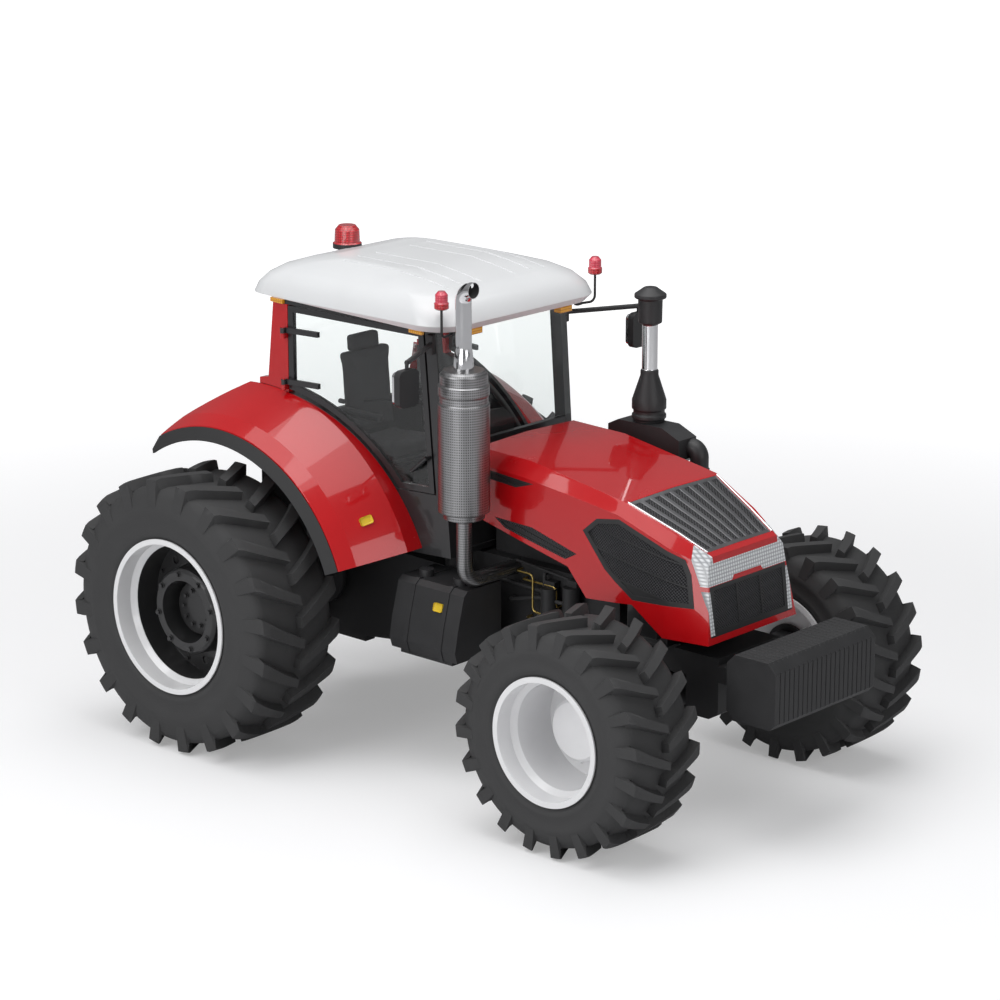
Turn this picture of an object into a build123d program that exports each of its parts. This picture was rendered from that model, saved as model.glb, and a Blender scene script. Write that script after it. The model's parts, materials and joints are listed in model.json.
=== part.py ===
from build123d import *
import math
import os

# Four-wheel-drive farm tractor with a closed cab, in millimetres.
#
# Model axes: X forward from the rear axle, Y to the left, Z up from the ground.
# Every piece is drawn in those axes and written with its X shifted, so that the
# row's origin is on the ground under the middle of the whole tractor.

os.makedirs("parts", exist_ok=True)

# ------------------------------------------------------------------ driving dimensions
wheelbase = 2985.0

rear_tyre_radius = 905.0  # to the lugs' tread faces
rear_tyre_width = 700.0
rear_tread_width = 644.0
rear_wheel_y = 1311.0  # middle of the tyre
rear_flange_radius = 508.0
rear_rim_width = 664.0
rear_hub_radius = 170.0
rear_spindle_radius = 60.0
weight_ring_outer = 294.0
weight_ring_bore = 204.0
weight_ring_depth = 180.0
disc_hole_circle = 365.0
disc_hole_radius = 26.0

front_tyre_radius = 718.0
front_tyre_width = 610.0
front_tread_width = 564.0
front_wheel_y = 1121.0
front_flange_radius = 397.0
front_rim_width = 592.0
front_disc_inset = 152.0  # disc's middle, inboard of the tyre's middle
front_hub_radius = 200.0
front_spindle_radius = 50.0

lugs_per_side = 20
lug_height = 56.0  # tread face above the carcass crown
lug_draft = 14.0  # how much wider a lug's root is than its face, on each side
bead_drop = 26.0  # flange above the bead seat
rim_wall = 10.0
disc_thickness = 16.0
fit_gap = 0.3  # between pieces that seat on each other
spin_gap = 0.05  # radial play of a shaft in its bore
run_gap = 6.0  # least clearance between moving pieces

kingpin_y = 860.0
kingpin_radius = 26.0
boss_radius = 60.0
boss_half_height = 80.0
knuckle_ear = 34.0
steer_arm = 185.0
steer_rod_radius = 16.0
steer_rod_drop = 71.0  # below the front axle's middle
steer_cylinder_radius = 38.0
steer_cylinder_half = 240.0
axle_beam_half = 65.0
trunnion_radius = 50.0
rear_trunnion_reach = 365.0  # behind the front axle
front_trunnion_reach = 215.0  # ahead of it
saddle_length = 120.0

frame_half_width = 150.0
bolster_half_width = 300.0
frame_low_z = 830.0
frame_high_z = 1020.0
bolster_low_z = 655.0
bolster_top_z = 1050.0
bolster_reach = 415.0  # front axle to the bolster's face

engine_half_width = 290.0
engine_low_z = 860.0
engine_deck_z = 1340.0
transmission_half_width = 230.0
transmission_rear_x = -260.0
bell_x = 1400.0  # engine and transmission meet here
axle_tube_radius = 125.0

cab_half_width = 765.0
cab_taper = 7.5  # degrees that each side runs in, ahead of the door's hinges
cab_front_x = 1500.0
cab_rear_x = -20.0
cab_floor_z = 1360.0
cab_platform_z = 1480.0
cab_sheet = 40.0
rear_wall_top_z = 1990.0
cowl_top_z = 2060.0
sill_z = 1755.0
sill_height = 95.0
header_z = 2790.0  # header's underside over the windscreen
header_rise = 50.0  # how much higher it is at the cab's rear
header_height = 30.0
pillar_depth = 60.0
rear_pillar_x = 115.0  # rear edge of the rear pillars' tops
pillar_lean = 110.0  # how far the front pillars' tops lie behind their feet
pillar_width = 80.0
door_thickness = 30.0
door_frame = 38.0
door_gap = 6.0
door_rear_x = 250.0
door_hinge_x = 235.0
door_hinge_out = 35.0  # hinge axis outside the cab's side
door_hinge_levels = (2315.0, 2650.0)
door_front_gap = 12.0  # wider, since the door's front edge swings out past the pillar
hinge_barrel_radius = 16.0
hinge_barrel_height = 34.0
hinge_strap_end_x = 500.0
hinge_strap_sheet = 22.0
glass_thickness = 6.0
hinge_pin_radius = 9.0

roof_front_x = 1600.0
roof_rear_x = -130.0
roof_half_width = cab_half_width + 10.0
roof_base_z = header_z + header_height
roof_height = 285.0
roof_groove_width = 14.0
roof_groove_depth = 5.0

fender_inner_radius = 1375.0
door_arc_radius = fender_inner_radius + 25.0  # the door clears the mudguard's wall
fender_crest_y = 1070.0
fender_crest_radius = 1215.0
fender_edge_y = 1165.0
fender_edge_radius = 1150.0
lip_y = 1205.0
lip_radius = 1060.0
lip_sheet = 22.0
fender_sheet = 12.0
fender_front_angle = 21.0
fender_rear_angle = 124.0
lip_rear_angle = 123.0

hood_wall = 10.0
hood_hinge_x = 1660.0
hood_hinge_z = 2000.0
grille_frame = 30.0
grille_bar = 9.0

weight_half_width = 492.0
weight_reach = 988.0  # front axle to the weights' face
weight_depth = 363.0
weight_low_z = 773.0
weight_high_z = 1186.0
weight_plates = 22
weight_groove = 8.0  # depth of the lines between the plates
carrier_low_z = 900.0
carrier_high_z = 1008.0

muffler_x = 1770.0
muffler_y = -770.0
muffler_radius = 160.0
muffler_low_z = 1705.0
muffler_high_z = 2650.0
down_pipe_radius = 48.0
down_pipe_z = 1300.0
stack_radius = 50.0
stack_wall = 3.0
stack_high_z = 3148.0
stack_reach = 84.0
stack_bend = 80.0

cleaner_x = 2050.0
cleaner_y = 662.0
cleaner_half_width = 105.0
cleaner_top_z = 2110.0
hose_radius = 60.0
hose_x = 2440.0
hose_z = 1290.0

tank_low_z = 800.0
tank_high_z = 1250.0
service_tank_x = (1240.0, 1800.0)
fuel_tank_x = (1020.0, 1840.0)
fuel_tank_y = (470.0, 840.0)
step_levels = (520.0, 800.0, 1080.0)

link_pivot_x = -150.0
link_pivot_z = 600.0
link_length = 1162.0
link_droop = 8.4  # degrees below level at rest
link_y = 420.0
link_width = 30.0
link_half_height = 35.0
link_pin_radius = 18.0
link_eye_radius = 50.0
link_bore_radius = 18.7  # category 3 lower link pin
lift_share = 0.43  # where the lift rod meets the lower link
lift_pivot_z = 1250.0
lift_shaft_radius = 45.0
lift_pin_radius = 14.0
drawbar_hole_radius = 20.0
pto_radius = 17.46
top_link_bore_radius = 16.0  # category 3 top link pin
top_link_x = -330.0
top_link_z = 1045.0
top_link_length = 720.0
top_link_rise = 3.0  # degrees above level at rest
top_link_tube_radius = 24.0
top_link_half_eye = 25.0

# ------------------------------------------------------------------ places worked out from them
rear_axle_z = rear_tyre_radius
front_axle_z = front_tyre_radius
engine_front_x = wheelbase - rear_trunnion_reach
bolster_front_x = wheelbase + bolster_reach
weight_front_x = wheelbase + weight_reach
steer_rod_x = wheelbase - steer_arm
steer_rod_z = front_axle_z - steer_rod_drop
link_end_x = link_pivot_x - link_length * math.cos(math.radians(link_droop))
link_end_z = link_pivot_z - link_length * math.sin(math.radians(link_droop))
lift_end_x = link_pivot_x + lift_share * (link_end_x - link_pivot_x)
lift_drop = lift_share * (link_pivot_z - link_end_z)

# The row's origin stands midway between the weights' face and the lower links' eyes.
origin_x = (weight_front_x + link_end_x - link_eye_radius) / 2


# ------------------------------------------------------------------ helpers
def save(part, name):
    """Label a finished piece, move it into the row's frame and write it."""
    placed = part.moved(Location((-origin_x, 0, 0)))
    placed.label = name
    export_step(placed, f"parts/{name}.step")


def mirrored(part):
    """The same piece on the other side of the tractor's middle plane."""
    return part.mirror(Plane.XZ)


def both_sides(part):
    """A right-hand piece together with its left-hand mirror image."""
    with BuildPart() as pair:
        add(part)
        mirror(part, about=Plane.XZ)
    return pair.part


def plate(points, low_y, high_y, mode=Mode.ADD, grow=0.0):
    """Extrude a side-view outline of (x, z) points between two Y planes, grown by an amount."""
    with BuildSketch(Plane.XZ.offset(-high_y)) as outline:
        with BuildLine():
            Polyline(*points, close=True)
        make_face()
        if grow:
            offset(amount=grow, kind=Kind.INTERSECTION, mode=Mode.REPLACE)
    extrude(outline.sketch, amount=high_y - low_y, mode=mode)


def upright(points, low_z, high_z, mode=Mode.ADD, grow=0.0):
    """Extrude a plan outline of (x, y) points between two levels, grown by an amount."""
    with BuildSketch(Plane.XY.offset(low_z)) as outline:
        with BuildLine():
            Polyline(*points, close=True)
        make_face()
        if grow:
            offset(amount=grow, kind=Kind.INTERSECTION, mode=Mode.REPLACE)
    extrude(outline.sketch, amount=high_z - low_z, mode=mode)


def block(low, high, mode=Mode.ADD):
    """A box between its low and high corners."""
    width, depth, height = (b - a for a, b in zip(low, high))
    with BuildSketch(Plane.XY.offset(low[2])) as outline:
        with Locations((low[0] + width / 2, low[1] + depth / 2)):
            Rectangle(width, depth)
    extrude(outline.sketch, amount=height, mode=mode)


def slice_x(points, low_x, high_x, mode=Mode.ADD, grow=0.0):
    """Extrude a front-view outline of (y, z) points between two X planes, grown by an amount."""
    with BuildSketch(Plane.YZ.offset(low_x)) as outline:
        with BuildLine():
            Polyline(*points, close=True)
        make_face()
        if grow:
            offset(amount=grow, kind=Kind.INTERSECTION, mode=Mode.REPLACE)
    extrude(outline.sketch, amount=high_x - low_x, mode=mode)


def bar(start, end, radius, mode=Mode.ADD):
    """A round bar from one point to another."""
    run = Vector(*end) - Vector(*start)
    with BuildSketch(Plane(origin=start, z_dir=run)) as section:
        Circle(radius)
    extrude(section.sketch, amount=run.length, mode=mode)


def pipe(points, radius, bend, mode=Mode.ADD):
    """A round pipe along a polyline whose corners are bends of one radius."""
    with BuildLine() as route:
        FilletPolyline(*points, radius=bend)
    with BuildSketch(Plane(origin=points[0], z_dir=Vector(*points[1]) - Vector(*points[0]))) as section:
        Circle(radius)
    sweep(section.sketch, path=route.wire(), mode=mode)


def lathe(points, mode=Mode.ADD):
    """Turn a closed outline of (distance along Y, radius) about the Y axis."""
    with BuildSketch(Plane.YZ) as outline:
        with BuildLine():
            Polyline(*points, close=True)
        make_face()
    revolve(outline.sketch, axis=Axis.Y, mode=mode)


def turned_post(rings, x, y):
    """Turn an outline of (radius, level) about an upright axis; its ends close on the axis."""
    with BuildSketch(Plane(origin=(x, y, 0), x_dir=(1, 0, 0), z_dir=(0, -1, 0))) as outline:
        with BuildLine():
            Polyline((0, rings[0][1]), *rings, (0, rings[-1][1]), close=True)
        make_face()
    revolve(outline.sketch, axis=Axis((x, y, 0), (0, 0, 1)))


def strip(side, inner, outer):
    """Low and high Y of a band between two distances from the middle, on one side."""
    return sorted((side * inner, side * outer))


# ------------------------------------------------------------------ tyres and wheels
# Corners of a lug's tread face on a tyre of 905 mm radius: distance out from the tread's middle
# as a share of its half-width, and place round the tyre in millimetres.
lug_tip = 134.0
lug_face = [(-0.03, -126), (1.0, 40), (1.0, lug_tip), (-0.03, -62)]


def flat_sided(rings, sides, phase):
    """Loft rings of (distance along Y, radius), each a regular polygon, into one solid."""
    sections = []
    for y, radius in rings:
        with BuildSketch(Plane(origin=(0, y, 0), x_dir=(1, 0, 0), z_dir=(0, 1, 0))) as section:
            RegularPolygon(radius, sides, rotation=phase)
        sections.append(section.sketch)
    with BuildPart() as form:
        loft(sections, ruled=True)
    return form.part


def lug(radius, half_tread, root_radius):
    """One lug of the right half of the tread, over the top of the tyre, with a flat tread face."""
    scale = radius / rear_tyre_radius
    corners = [(scale * along, -half_tread * out) for out, along in lug_face]
    face_z = math.sqrt(radius**2 - (scale * lug_tip) ** 2)
    with BuildPart() as cleat:
        with BuildSketch(Plane.XY.offset(face_z)):
            with BuildLine():
                Polyline(*corners, close=True)
            make_face()
        with BuildSketch(Plane.XY.offset(root_radius)):
            with BuildLine():
                Polyline(*corners, close=True)
            make_face()
            offset(amount=lug_draft * scale, kind=Kind.INTERSECTION)
        loft(ruled=True)
        block((-radius, -half_tread, 0), (radius, half_tread, radius), Mode.INTERSECT)
    return cleat.part


def tyre(radius, width, tread, flange_radius, rim_width):
    """Agricultural tyre: a flat-sided carcass on the rim's bead seats, and two rows of lugs."""
    crown = radius - lug_height
    pitch = 360 / lugs_per_side
    half = [(rim_width / 2 - 16, flange_radius + 12), (width / 2, 0.76 * radius), (tread / 2 - 30, crown)]
    cleat = lug(radius, tread / 2, crown - 100)
    tip_angle = math.degrees(math.asin(lug_tip / rear_tyre_radius))
    bead_radius = (flange_radius - bead_drop + fit_gap) / math.cos(math.pi / lugs_per_side)
    lugs = [row.rotate(Axis.Y, pitch * (index + stagger) - tip_angle)
            for row, stagger in ((cleat, 0), (cleat.mirror(Plane.XZ), 0.5)) for index in range(lugs_per_side)]
    with BuildPart() as rubber:
        add(flat_sided(half + [(-y, r) for y, r in reversed(half)], lugs_per_side, pitch / 2))
        add(lugs)
        add(flat_sided([(-width, bead_radius), (width, bead_radius)], lugs_per_side, pitch / 2),
            mode=Mode.SUBTRACT)
    return rubber.part


def rim(flange_radius, rim_width):
    """Drop-centre barrel: flanges, bead seats and the well, one wall thick."""
    half = rim_width / 2
    seat = flange_radius - bead_drop
    well = flange_radius - 60
    outer = [
        (half, flange_radius),
        (half - 14, flange_radius),
        (half - 14, seat),
        (half - 110, seat),
        (half - 140, well),
    ]
    inner = [
        (half, seat - rim_wall),
        (half - 110 - rim_wall / 2, seat - rim_wall),
        (half - 140 - rim_wall / 2, well - rim_wall),
    ]
    section = outer + [(-y, r) for y, r in reversed(outer)]
    section += [(-y, r) for y, r in inner] + list(reversed(inner))
    lathe(section)


def rear_wheel():
    """Right rear barrel with its disc, hub spindle and the cast weight ring."""
    disc_radius = rear_flange_radius - 60 - rim_wall / 2
    half = disc_thickness / 2
    with BuildPart() as wheel:
        rim(rear_flange_radius, rear_rim_width)
        with BuildSketch(Plane.XZ.offset(-half)):
            Circle(disc_radius)
            with PolarLocations(disc_hole_circle, 8):
                Circle(disc_hole_radius, mode=Mode.SUBTRACT)
        extrude(amount=disc_thickness)
        lathe([(-half, weight_ring_bore), (-half, weight_ring_outer), (20 - weight_ring_depth, weight_ring_outer - 14),
               (-weight_ring_depth, weight_ring_outer - 34), (-weight_ring_depth, weight_ring_bore)])
        lathe([(60, 0), (60, rear_hub_radius), (-70, rear_hub_radius), (-70, 0)])
        bar((0, 59, 0), (0, 200, 0), rear_spindle_radius)
    return wheel.part.moved(Location((0, -rear_wheel_y, rear_axle_z)))


def front_wheel():
    """Right front barrel with its deep-set disc and hub drum."""
    disc_radius = front_flange_radius - 60 - rim_wall / 2
    inner_face = front_disc_inset + disc_thickness / 2
    with BuildPart() as wheel:
        rim(front_flange_radius, front_rim_width)
        lathe([(inner_face, 0), (inner_face, disc_radius), (inner_face - disc_thickness, disc_radius),
               (inner_face - disc_thickness, front_hub_radius), (10, front_hub_radius - 6),
               (-10, front_hub_radius - 26), (-10, 0)])
        bar((0, inner_face, 0), (0, 20, 0), front_spindle_radius + spin_gap, Mode.SUBTRACT)
    return wheel.part.moved(Location((wheelbase, -front_wheel_y, front_axle_z)))


# ------------------------------------------------------------------ chassis
def front_frame():
    """Front casting over the axle: two saddles, the bolster and the weight carrier."""
    rear_saddle_x = wheelbase - rear_trunnion_reach
    front_saddle_x = wheelbase + front_trunnion_reach - trunnion_radius
    front_saddle_end_x = bolster_front_x - 70
    bolster_rear_x = wheelbase + 71
    with BuildPart() as frame:
        plate([(engine_front_x - 160, frame_high_z), (engine_front_x - 160, frame_low_z),
               (rear_saddle_x, frame_low_z), (rear_saddle_x, bolster_low_z),
               (rear_saddle_x + saddle_length, bolster_low_z), (rear_saddle_x + saddle_length, frame_low_z),
               (front_saddle_x, frame_low_z), (front_saddle_x, bolster_low_z), (front_saddle_end_x, bolster_low_z),
               (bolster_front_x, bolster_low_z + 45), (bolster_front_x, bolster_top_z),
               (bolster_rear_x, bolster_top_z), (bolster_rear_x - 36, frame_high_z)],
              -frame_half_width, frame_half_width)
        plate([(front_saddle_x, bolster_low_z), (front_saddle_end_x, bolster_low_z),
               (bolster_front_x, bolster_low_z + 45), (bolster_front_x, bolster_top_z),
               (bolster_rear_x, bolster_top_z), (bolster_rear_x, frame_high_z - 40), (front_saddle_x, frame_low_z + 70)],
              -bolster_half_width, bolster_half_width)
        block((bolster_front_x, -bolster_half_width, carrier_low_z),
              (weight_front_x - weight_depth, bolster_half_width, carrier_high_z))
        for start, end in ((rear_saddle_x, rear_saddle_x + saddle_length),
                           (front_saddle_x, wheelbase + front_trunnion_reach)):
            bar((start, 0, front_axle_z), (end, 0, front_axle_z), trunnion_radius + spin_gap, Mode.SUBTRACT)
    return frame.part


def front_axle():
    """Driven axle beam with its oscillation trunnions, kingpin bosses and steering cylinder."""
    with BuildPart() as axle:
        for side in (-1, 1):
            low, high = strip(side, 0, kingpin_y)
            block((wheelbase - axle_beam_half, low, front_axle_z - axle_beam_half),
                  (wheelbase + axle_beam_half, high, front_axle_z + axle_beam_half))
            bar((wheelbase, side * kingpin_y, front_axle_z - boss_half_height),
                (wheelbase, side * kingpin_y, front_axle_z + boss_half_height), boss_radius)
        bar((wheelbase, -160, front_axle_z), (wheelbase, 160, front_axle_z), 105)
        bar((wheelbase - rear_trunnion_reach + 1, 0, front_axle_z),
            (wheelbase + front_trunnion_reach, 0, front_axle_z), trunnion_radius)
        bar((steer_rod_x, -steer_cylinder_half, steer_rod_z), (steer_rod_x, steer_cylinder_half, steer_rod_z),
            steer_cylinder_radius)
        block((steer_rod_x, -200, steer_rod_z - 15), (wheelbase - 60, 200, steer_rod_z + 30))
        for side in (-1, 1):
            bar((wheelbase, side * kingpin_y, front_axle_z - boss_half_height),
                (wheelbase, side * kingpin_y, front_axle_z + boss_half_height),
                kingpin_radius + spin_gap, Mode.SUBTRACT)
        bar((steer_rod_x, -steer_cylinder_half, steer_rod_z), (steer_rod_x, steer_cylinder_half, steer_rod_z),
            steer_rod_radius + spin_gap, Mode.SUBTRACT)
    return axle.part


def knuckle():
    """Right steering knuckle: kingpin, its two ears, the hub carrier, spindle and arm."""
    upper = front_axle_z + boss_half_height + run_gap
    lower = front_axle_z - boss_half_height - run_gap - knuckle_ear
    carrier_y = front_wheel_y - front_disc_inset - disc_thickness / 2 - run_gap
    with BuildPart() as body:
        for low in (lower, upper):
            bar((wheelbase, -kingpin_y, low), (wheelbase, -kingpin_y, low + knuckle_ear), boss_radius)
            block((wheelbase - boss_radius, -carrier_y, low), (wheelbase + boss_radius, -kingpin_y, low + knuckle_ear))
        bar((wheelbase, -carrier_y, front_axle_z), (wheelbase, -kingpin_y - boss_radius - 14, front_axle_z), 165)
        bar((wheelbase, -kingpin_y, lower + 1), (wheelbase, -kingpin_y, upper + 10), kingpin_radius)
        bar((wheelbase, -carrier_y + 1, front_axle_z), (wheelbase, -carrier_y - 120, front_axle_z),
            front_spindle_radius)
        block((steer_rod_x - 30, -kingpin_y - 10, lower), (wheelbase, -kingpin_y + 40, lower + 22))
    return body.part


def steering_rod():
    """Rod of the double-ended steering cylinder, with an eye above each knuckle's arm."""
    eye_y = kingpin_y - 20
    with BuildPart() as rod:
        bar((steer_rod_x, -eye_y, steer_rod_z), (steer_rod_x, eye_y, steer_rod_z), steer_rod_radius)
        for side in (-1, 1):
            bar((steer_rod_x, side * eye_y, steer_rod_z - 20), (steer_rod_x, side * eye_y, steer_rod_z + 20), 28)
    return rod.part


def engine():
    """Closed engine as its heavy mass: sump, crankcase, head and rocker cover."""
    head_z = engine_deck_z + 300
    with BuildPart() as mass:
        block((bell_x, -engine_half_width, engine_low_z), (engine_front_x, engine_half_width, engine_deck_z))
        block((bell_x + 120, -200, engine_deck_z), (engine_front_x - 60, 200, head_z))
        block((bell_x + 140, -140, head_z), (engine_front_x - 110, 140, head_z + 105))
        plate([(bell_x + 40, engine_low_z), (bell_x + 120, engine_low_z - 220),
               (engine_front_x - 270, engine_low_z - 180), (engine_front_x - 180, engine_low_z)], -190, 190)
        for x, height in ((engine_front_x - 340, 230), (engine_front_x - 520, 190)):
            bar((x, -engine_half_width - 60, engine_low_z + 190), (x, -engine_half_width - 60, engine_low_z + 190 + height), 55)
            block((x - 40, -engine_half_width - 60, engine_low_z + 190 + height),
                  (x + 40, -engine_half_width, engine_low_z + 230 + height))
        bar((bell_x + 300, engine_half_width + 50, engine_low_z + 130),
            (bell_x + 620, engine_half_width + 50, engine_low_z + 130), 60)
        bar((engine_front_x - 470, engine_half_width + 62, engine_deck_z - 80),
            (engine_front_x - 330, engine_half_width + 62, engine_deck_z - 80), 78)
        block((engine_front_x - 160, -frame_half_width, engine_low_z), (engine_front_x, frame_half_width, frame_high_z),
              Mode.SUBTRACT)
    return mass.part


def transmission():
    """Gearbox and rear housing with the lift housing, link pins, PTO stub and cab mounts."""
    link_side = link_y - link_width / 2 - run_gap
    with BuildPart() as housing:
        plate([(transmission_rear_x, 520), (transmission_rear_x, 1200), (transmission_rear_x + 20, 1340), (60, 1340),
               (150, 1180), (bell_x, 1150), (bell_x, 640), (700, 560), (330, 520)],
              -transmission_half_width, transmission_half_width)
        for side in (-1, 1):
            low, high = strip(side, transmission_half_width, link_side)
            block((link_pivot_x - 60, low, link_pivot_z - 60), (link_pivot_x + 60, high, link_pivot_z + 60))
            bar((link_pivot_x, side * (link_side - 1), link_pivot_z),
                (link_pivot_x, side * (link_y + link_width / 2 + 8), link_pivot_z), link_pin_radius)
            low, high = strip(side, transmission_half_width, 445)
            block((1270, low, 1020), (1390, high, 1100))
            bar((1330, side * 395, 1100), (1330, side * 395, cab_floor_z), 50)
            low, high = strip(side, top_link_half_eye + 5, top_link_half_eye + 27)
            plate([(transmission_rear_x, top_link_z - 65), (top_link_x - 70, top_link_z - 55),
                   (top_link_x - 150, top_link_z - 45), (top_link_x - 150, top_link_z - 17),
                   (top_link_x - 70, top_link_z - 5), (top_link_x - 40, top_link_z + 35),
                   (transmission_rear_x, top_link_z + 75)], low, high)
        bar((top_link_x - 130, -top_link_half_eye - 6, top_link_z - 31),
            (top_link_x - 130, top_link_half_eye + 6, top_link_z - 31), 12)
        bar((top_link_x, -60, top_link_z), (top_link_x, 60, top_link_z), top_link_bore_radius, Mode.SUBTRACT)
        bar((transmission_rear_x + 1, 0, 650), (transmission_rear_x - 80, 0, 650), pto_radius)
        bar((link_pivot_x, -transmission_half_width, lift_pivot_z),
            (link_pivot_x, transmission_half_width, lift_pivot_z), lift_shaft_radius + spin_gap, Mode.SUBTRACT)
    return housing.part


def rear_axle():
    """Axle trumpets out to the hubs, each with a tower for the cab's rear mount."""
    end_y = rear_wheel_y - 60 - run_gap
    with BuildPart() as axle:
        lathe([(-transmission_half_width, 0), (-transmission_half_width, 215), (-270, 215), (-300, 175),
               (-700, 140), (-end_y, axle_tube_radius), (-end_y, 0)])
        block((-60, -560, 0), (60, -440, cab_platform_z - rear_axle_z))
        bar((0, -end_y, 0), (0, -end_y + 160, 0), rear_spindle_radius + spin_gap, Mode.SUBTRACT)
    return both_sides(axle.part.moved(Location((0, 0, rear_axle_z))))


def drawbar():
    """Swinging drawbar in its hanger under the rear housing."""
    with BuildPart() as hitch:
        block((-830, -45, 400), (200, 45, 445))
        for side in (-1, 1):
            low, high = strip(side, 45, 85)
            plate([(transmission_rear_x, 520), (transmission_rear_x - 40, 380), (-120, 380), (-60, 520)], low, high)
        bar((-770, 0, 400), (-770, 0, 445), drawbar_hole_radius, Mode.SUBTRACT)
        block((100, -45, 445), (200, 45, 520))
    return hitch.part


def radiator_pack():
    """Radiator and coolers standing on the front frame."""
    rear_x, front_x = wheelbase - 225, wheelbase + 5
    with BuildPart() as pack:
        block((rear_x, -390, 1100), (front_x, 390, 1690))
        block((rear_x + 20, -260, frame_high_z), (front_x - 20, 260, 1100))
        block((engine_front_x, -60, 1150), (rear_x, 60, 1270))
    return pack.part


def front_weights():
    """Ballast plates hung on the front carrier, side by side across the tractor."""
    back = weight_front_x - weight_depth
    pitch = 2 * weight_half_width / weight_plates
    outline = [(back, weight_low_z + 60), (back, weight_high_z - 60), (back + 60, weight_high_z),
               (weight_front_x - 60, weight_high_z), (weight_front_x, weight_high_z - 60),
               (weight_front_x, weight_low_z + 40), (weight_front_x - 40, weight_low_z), (back + 50, weight_low_z)]
    with BuildPart() as weights:
        plate(outline, -weight_half_width, weight_half_width)
        for index in range(1, weight_plates):
            y = index * pitch - weight_half_width
            block((weight_front_x - weight_groove, y - 3, weight_low_z), (weight_front_x, y + 3, weight_high_z),
                  Mode.SUBTRACT)
            block((back + 40, y - 3, weight_high_z - weight_groove), (weight_front_x, y + 3, weight_high_z),
                  Mode.SUBTRACT)
    return weights.part


# ------------------------------------------------------------------ exhaust and intake
# Levels and radii of the muffler from its foot up: the canister, a groove and the upper band.
muffler_rings = [(90, 0), (128, 14), (128, 46), (160, 58), (160, 735), (150, 742), (150, 786), (158, 792),
                 (158, 850), (148, 858), (148, 918), (126, 945)]


def muffler():
    """Upright exhaust canister on its down pipe from the engine's side."""
    with BuildPart() as canister:
        turned_post([(radius, muffler_low_z + rise) for radius, rise in muffler_rings], muffler_x, muffler_y)
        pipe([(muffler_x, -engine_half_width, down_pipe_z), (muffler_x, muffler_y, down_pipe_z),
              (muffler_x, muffler_y, muffler_low_z + 1)], down_pipe_radius, 120)
    return canister.part


def exhaust_stack():
    """Chromed collar and stack that turns forward at its open top."""
    foot_z = muffler_high_z + 100
    with BuildPart() as stack:
        turned_post([(stack_radius + 12, muffler_high_z), (stack_radius + 12, muffler_high_z + 50),
                     (stack_radius + 6, foot_z), (stack_radius, foot_z + 40), (stack_radius, foot_z + 50)],
                    muffler_x, muffler_y)
        pipe([(muffler_x, muffler_y, foot_z + 49), (muffler_x, muffler_y, stack_high_z),
              (muffler_x + stack_reach, muffler_y, stack_high_z)], stack_radius, stack_bend)
        bar((muffler_x + stack_reach - 60, muffler_y, stack_high_z),
            (muffler_x + stack_reach + 1, muffler_y, stack_high_z), stack_radius - stack_wall, Mode.SUBTRACT)
    return stack.part


def air_cleaner():
    """Air cleaner box beside the hood with its hose and bracket."""
    low_z = cleaner_top_z - 230
    with BuildPart() as canister:
        plate([(cleaner_x - 250, low_z + 60), (cleaner_x - 250, cleaner_top_z - 40), (cleaner_x - 170, cleaner_top_z),
               (cleaner_x + 190, cleaner_top_z), (cleaner_x + 330, cleaner_top_z - 60), (cleaner_x + 330, low_z + 40),
               (cleaner_x + 270, low_z), (cleaner_x - 190, low_z)],
              cleaner_y - cleaner_half_width, cleaner_y + cleaner_half_width)
        chamfer(canister.faces().sort_by(Axis.Y)[-1].edges(), length=34)
        pipe([(cleaner_x + 329, cleaner_y + 30, 1985), (hose_x, cleaner_y + 30, 1985), (hose_x, cleaner_y + 30, hose_z),
              (hose_x, engine_half_width, hose_z)], hose_radius, 59)
        plate([(cleaner_x - 90, hose_z + 10), (cleaner_x + 70, hose_z + 10), (cleaner_x + 70, low_z + 30),
               (cleaner_x - 90, low_z + 30)], cleaner_y, cleaner_y + 30)
        block((cleaner_x - 90, engine_half_width, hose_z + 10), (cleaner_x + 70, cleaner_y, engine_deck_z))
    return canister.part


# Radii and levels of the intake stack above the air cleaner's top: boot, cone, tube, bowl and cap.
precleaner_rings = [(100, 0), (100, 16), (110, 22), (110, 46), (100, 52), (100, 76), (110, 82), (110, 140),
                    (58, 300), (58, 330), (50, 336), (50, 626), (76, 640), (78, 790), (102, 798), (102, 822),
                    (76, 840), (40, 866)]


def precleaner():
    """Intake stack: rubber boot, cone, tube and the round precleaner bowl with its cap."""
    with BuildPart() as stack:
        turned_post([(radius, cleaner_top_z + rise) for radius, rise in precleaner_rings], cleaner_x, cleaner_y)
    return stack.part


# ------------------------------------------------------------------ side tanks
def service_tank():
    """Right-hand tank with its bracket tray, two straps and two filler caps."""
    rear_x, front_x = service_tank_x
    outline = [(-465, tank_high_z), (-770, tank_high_z), (-805, tank_high_z - 30), (-862, 1010),
               (-890, tank_low_z + 70), (-868, tank_low_z), (-465, tank_low_z)]
    with BuildPart() as tank:
        slice_x(outline, rear_x, front_x)
        for x in (rear_x + 120, front_x - 150):
            slice_x(outline, x, x + 34, grow=6.0)
            bar((x + 17, -690, tank_high_z), (x + 17, -690, tank_high_z + 44), 46)
        block((rear_x + 60, -850, tank_low_z - 30), (front_x - 60, -transmission_half_width, tank_low_z))
        block((rear_x + 60, -transmission_half_width - 60, tank_low_z - 30),
              (rear_x + 160, -transmission_half_width, tank_low_z + 100))
    return tank.part


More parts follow.
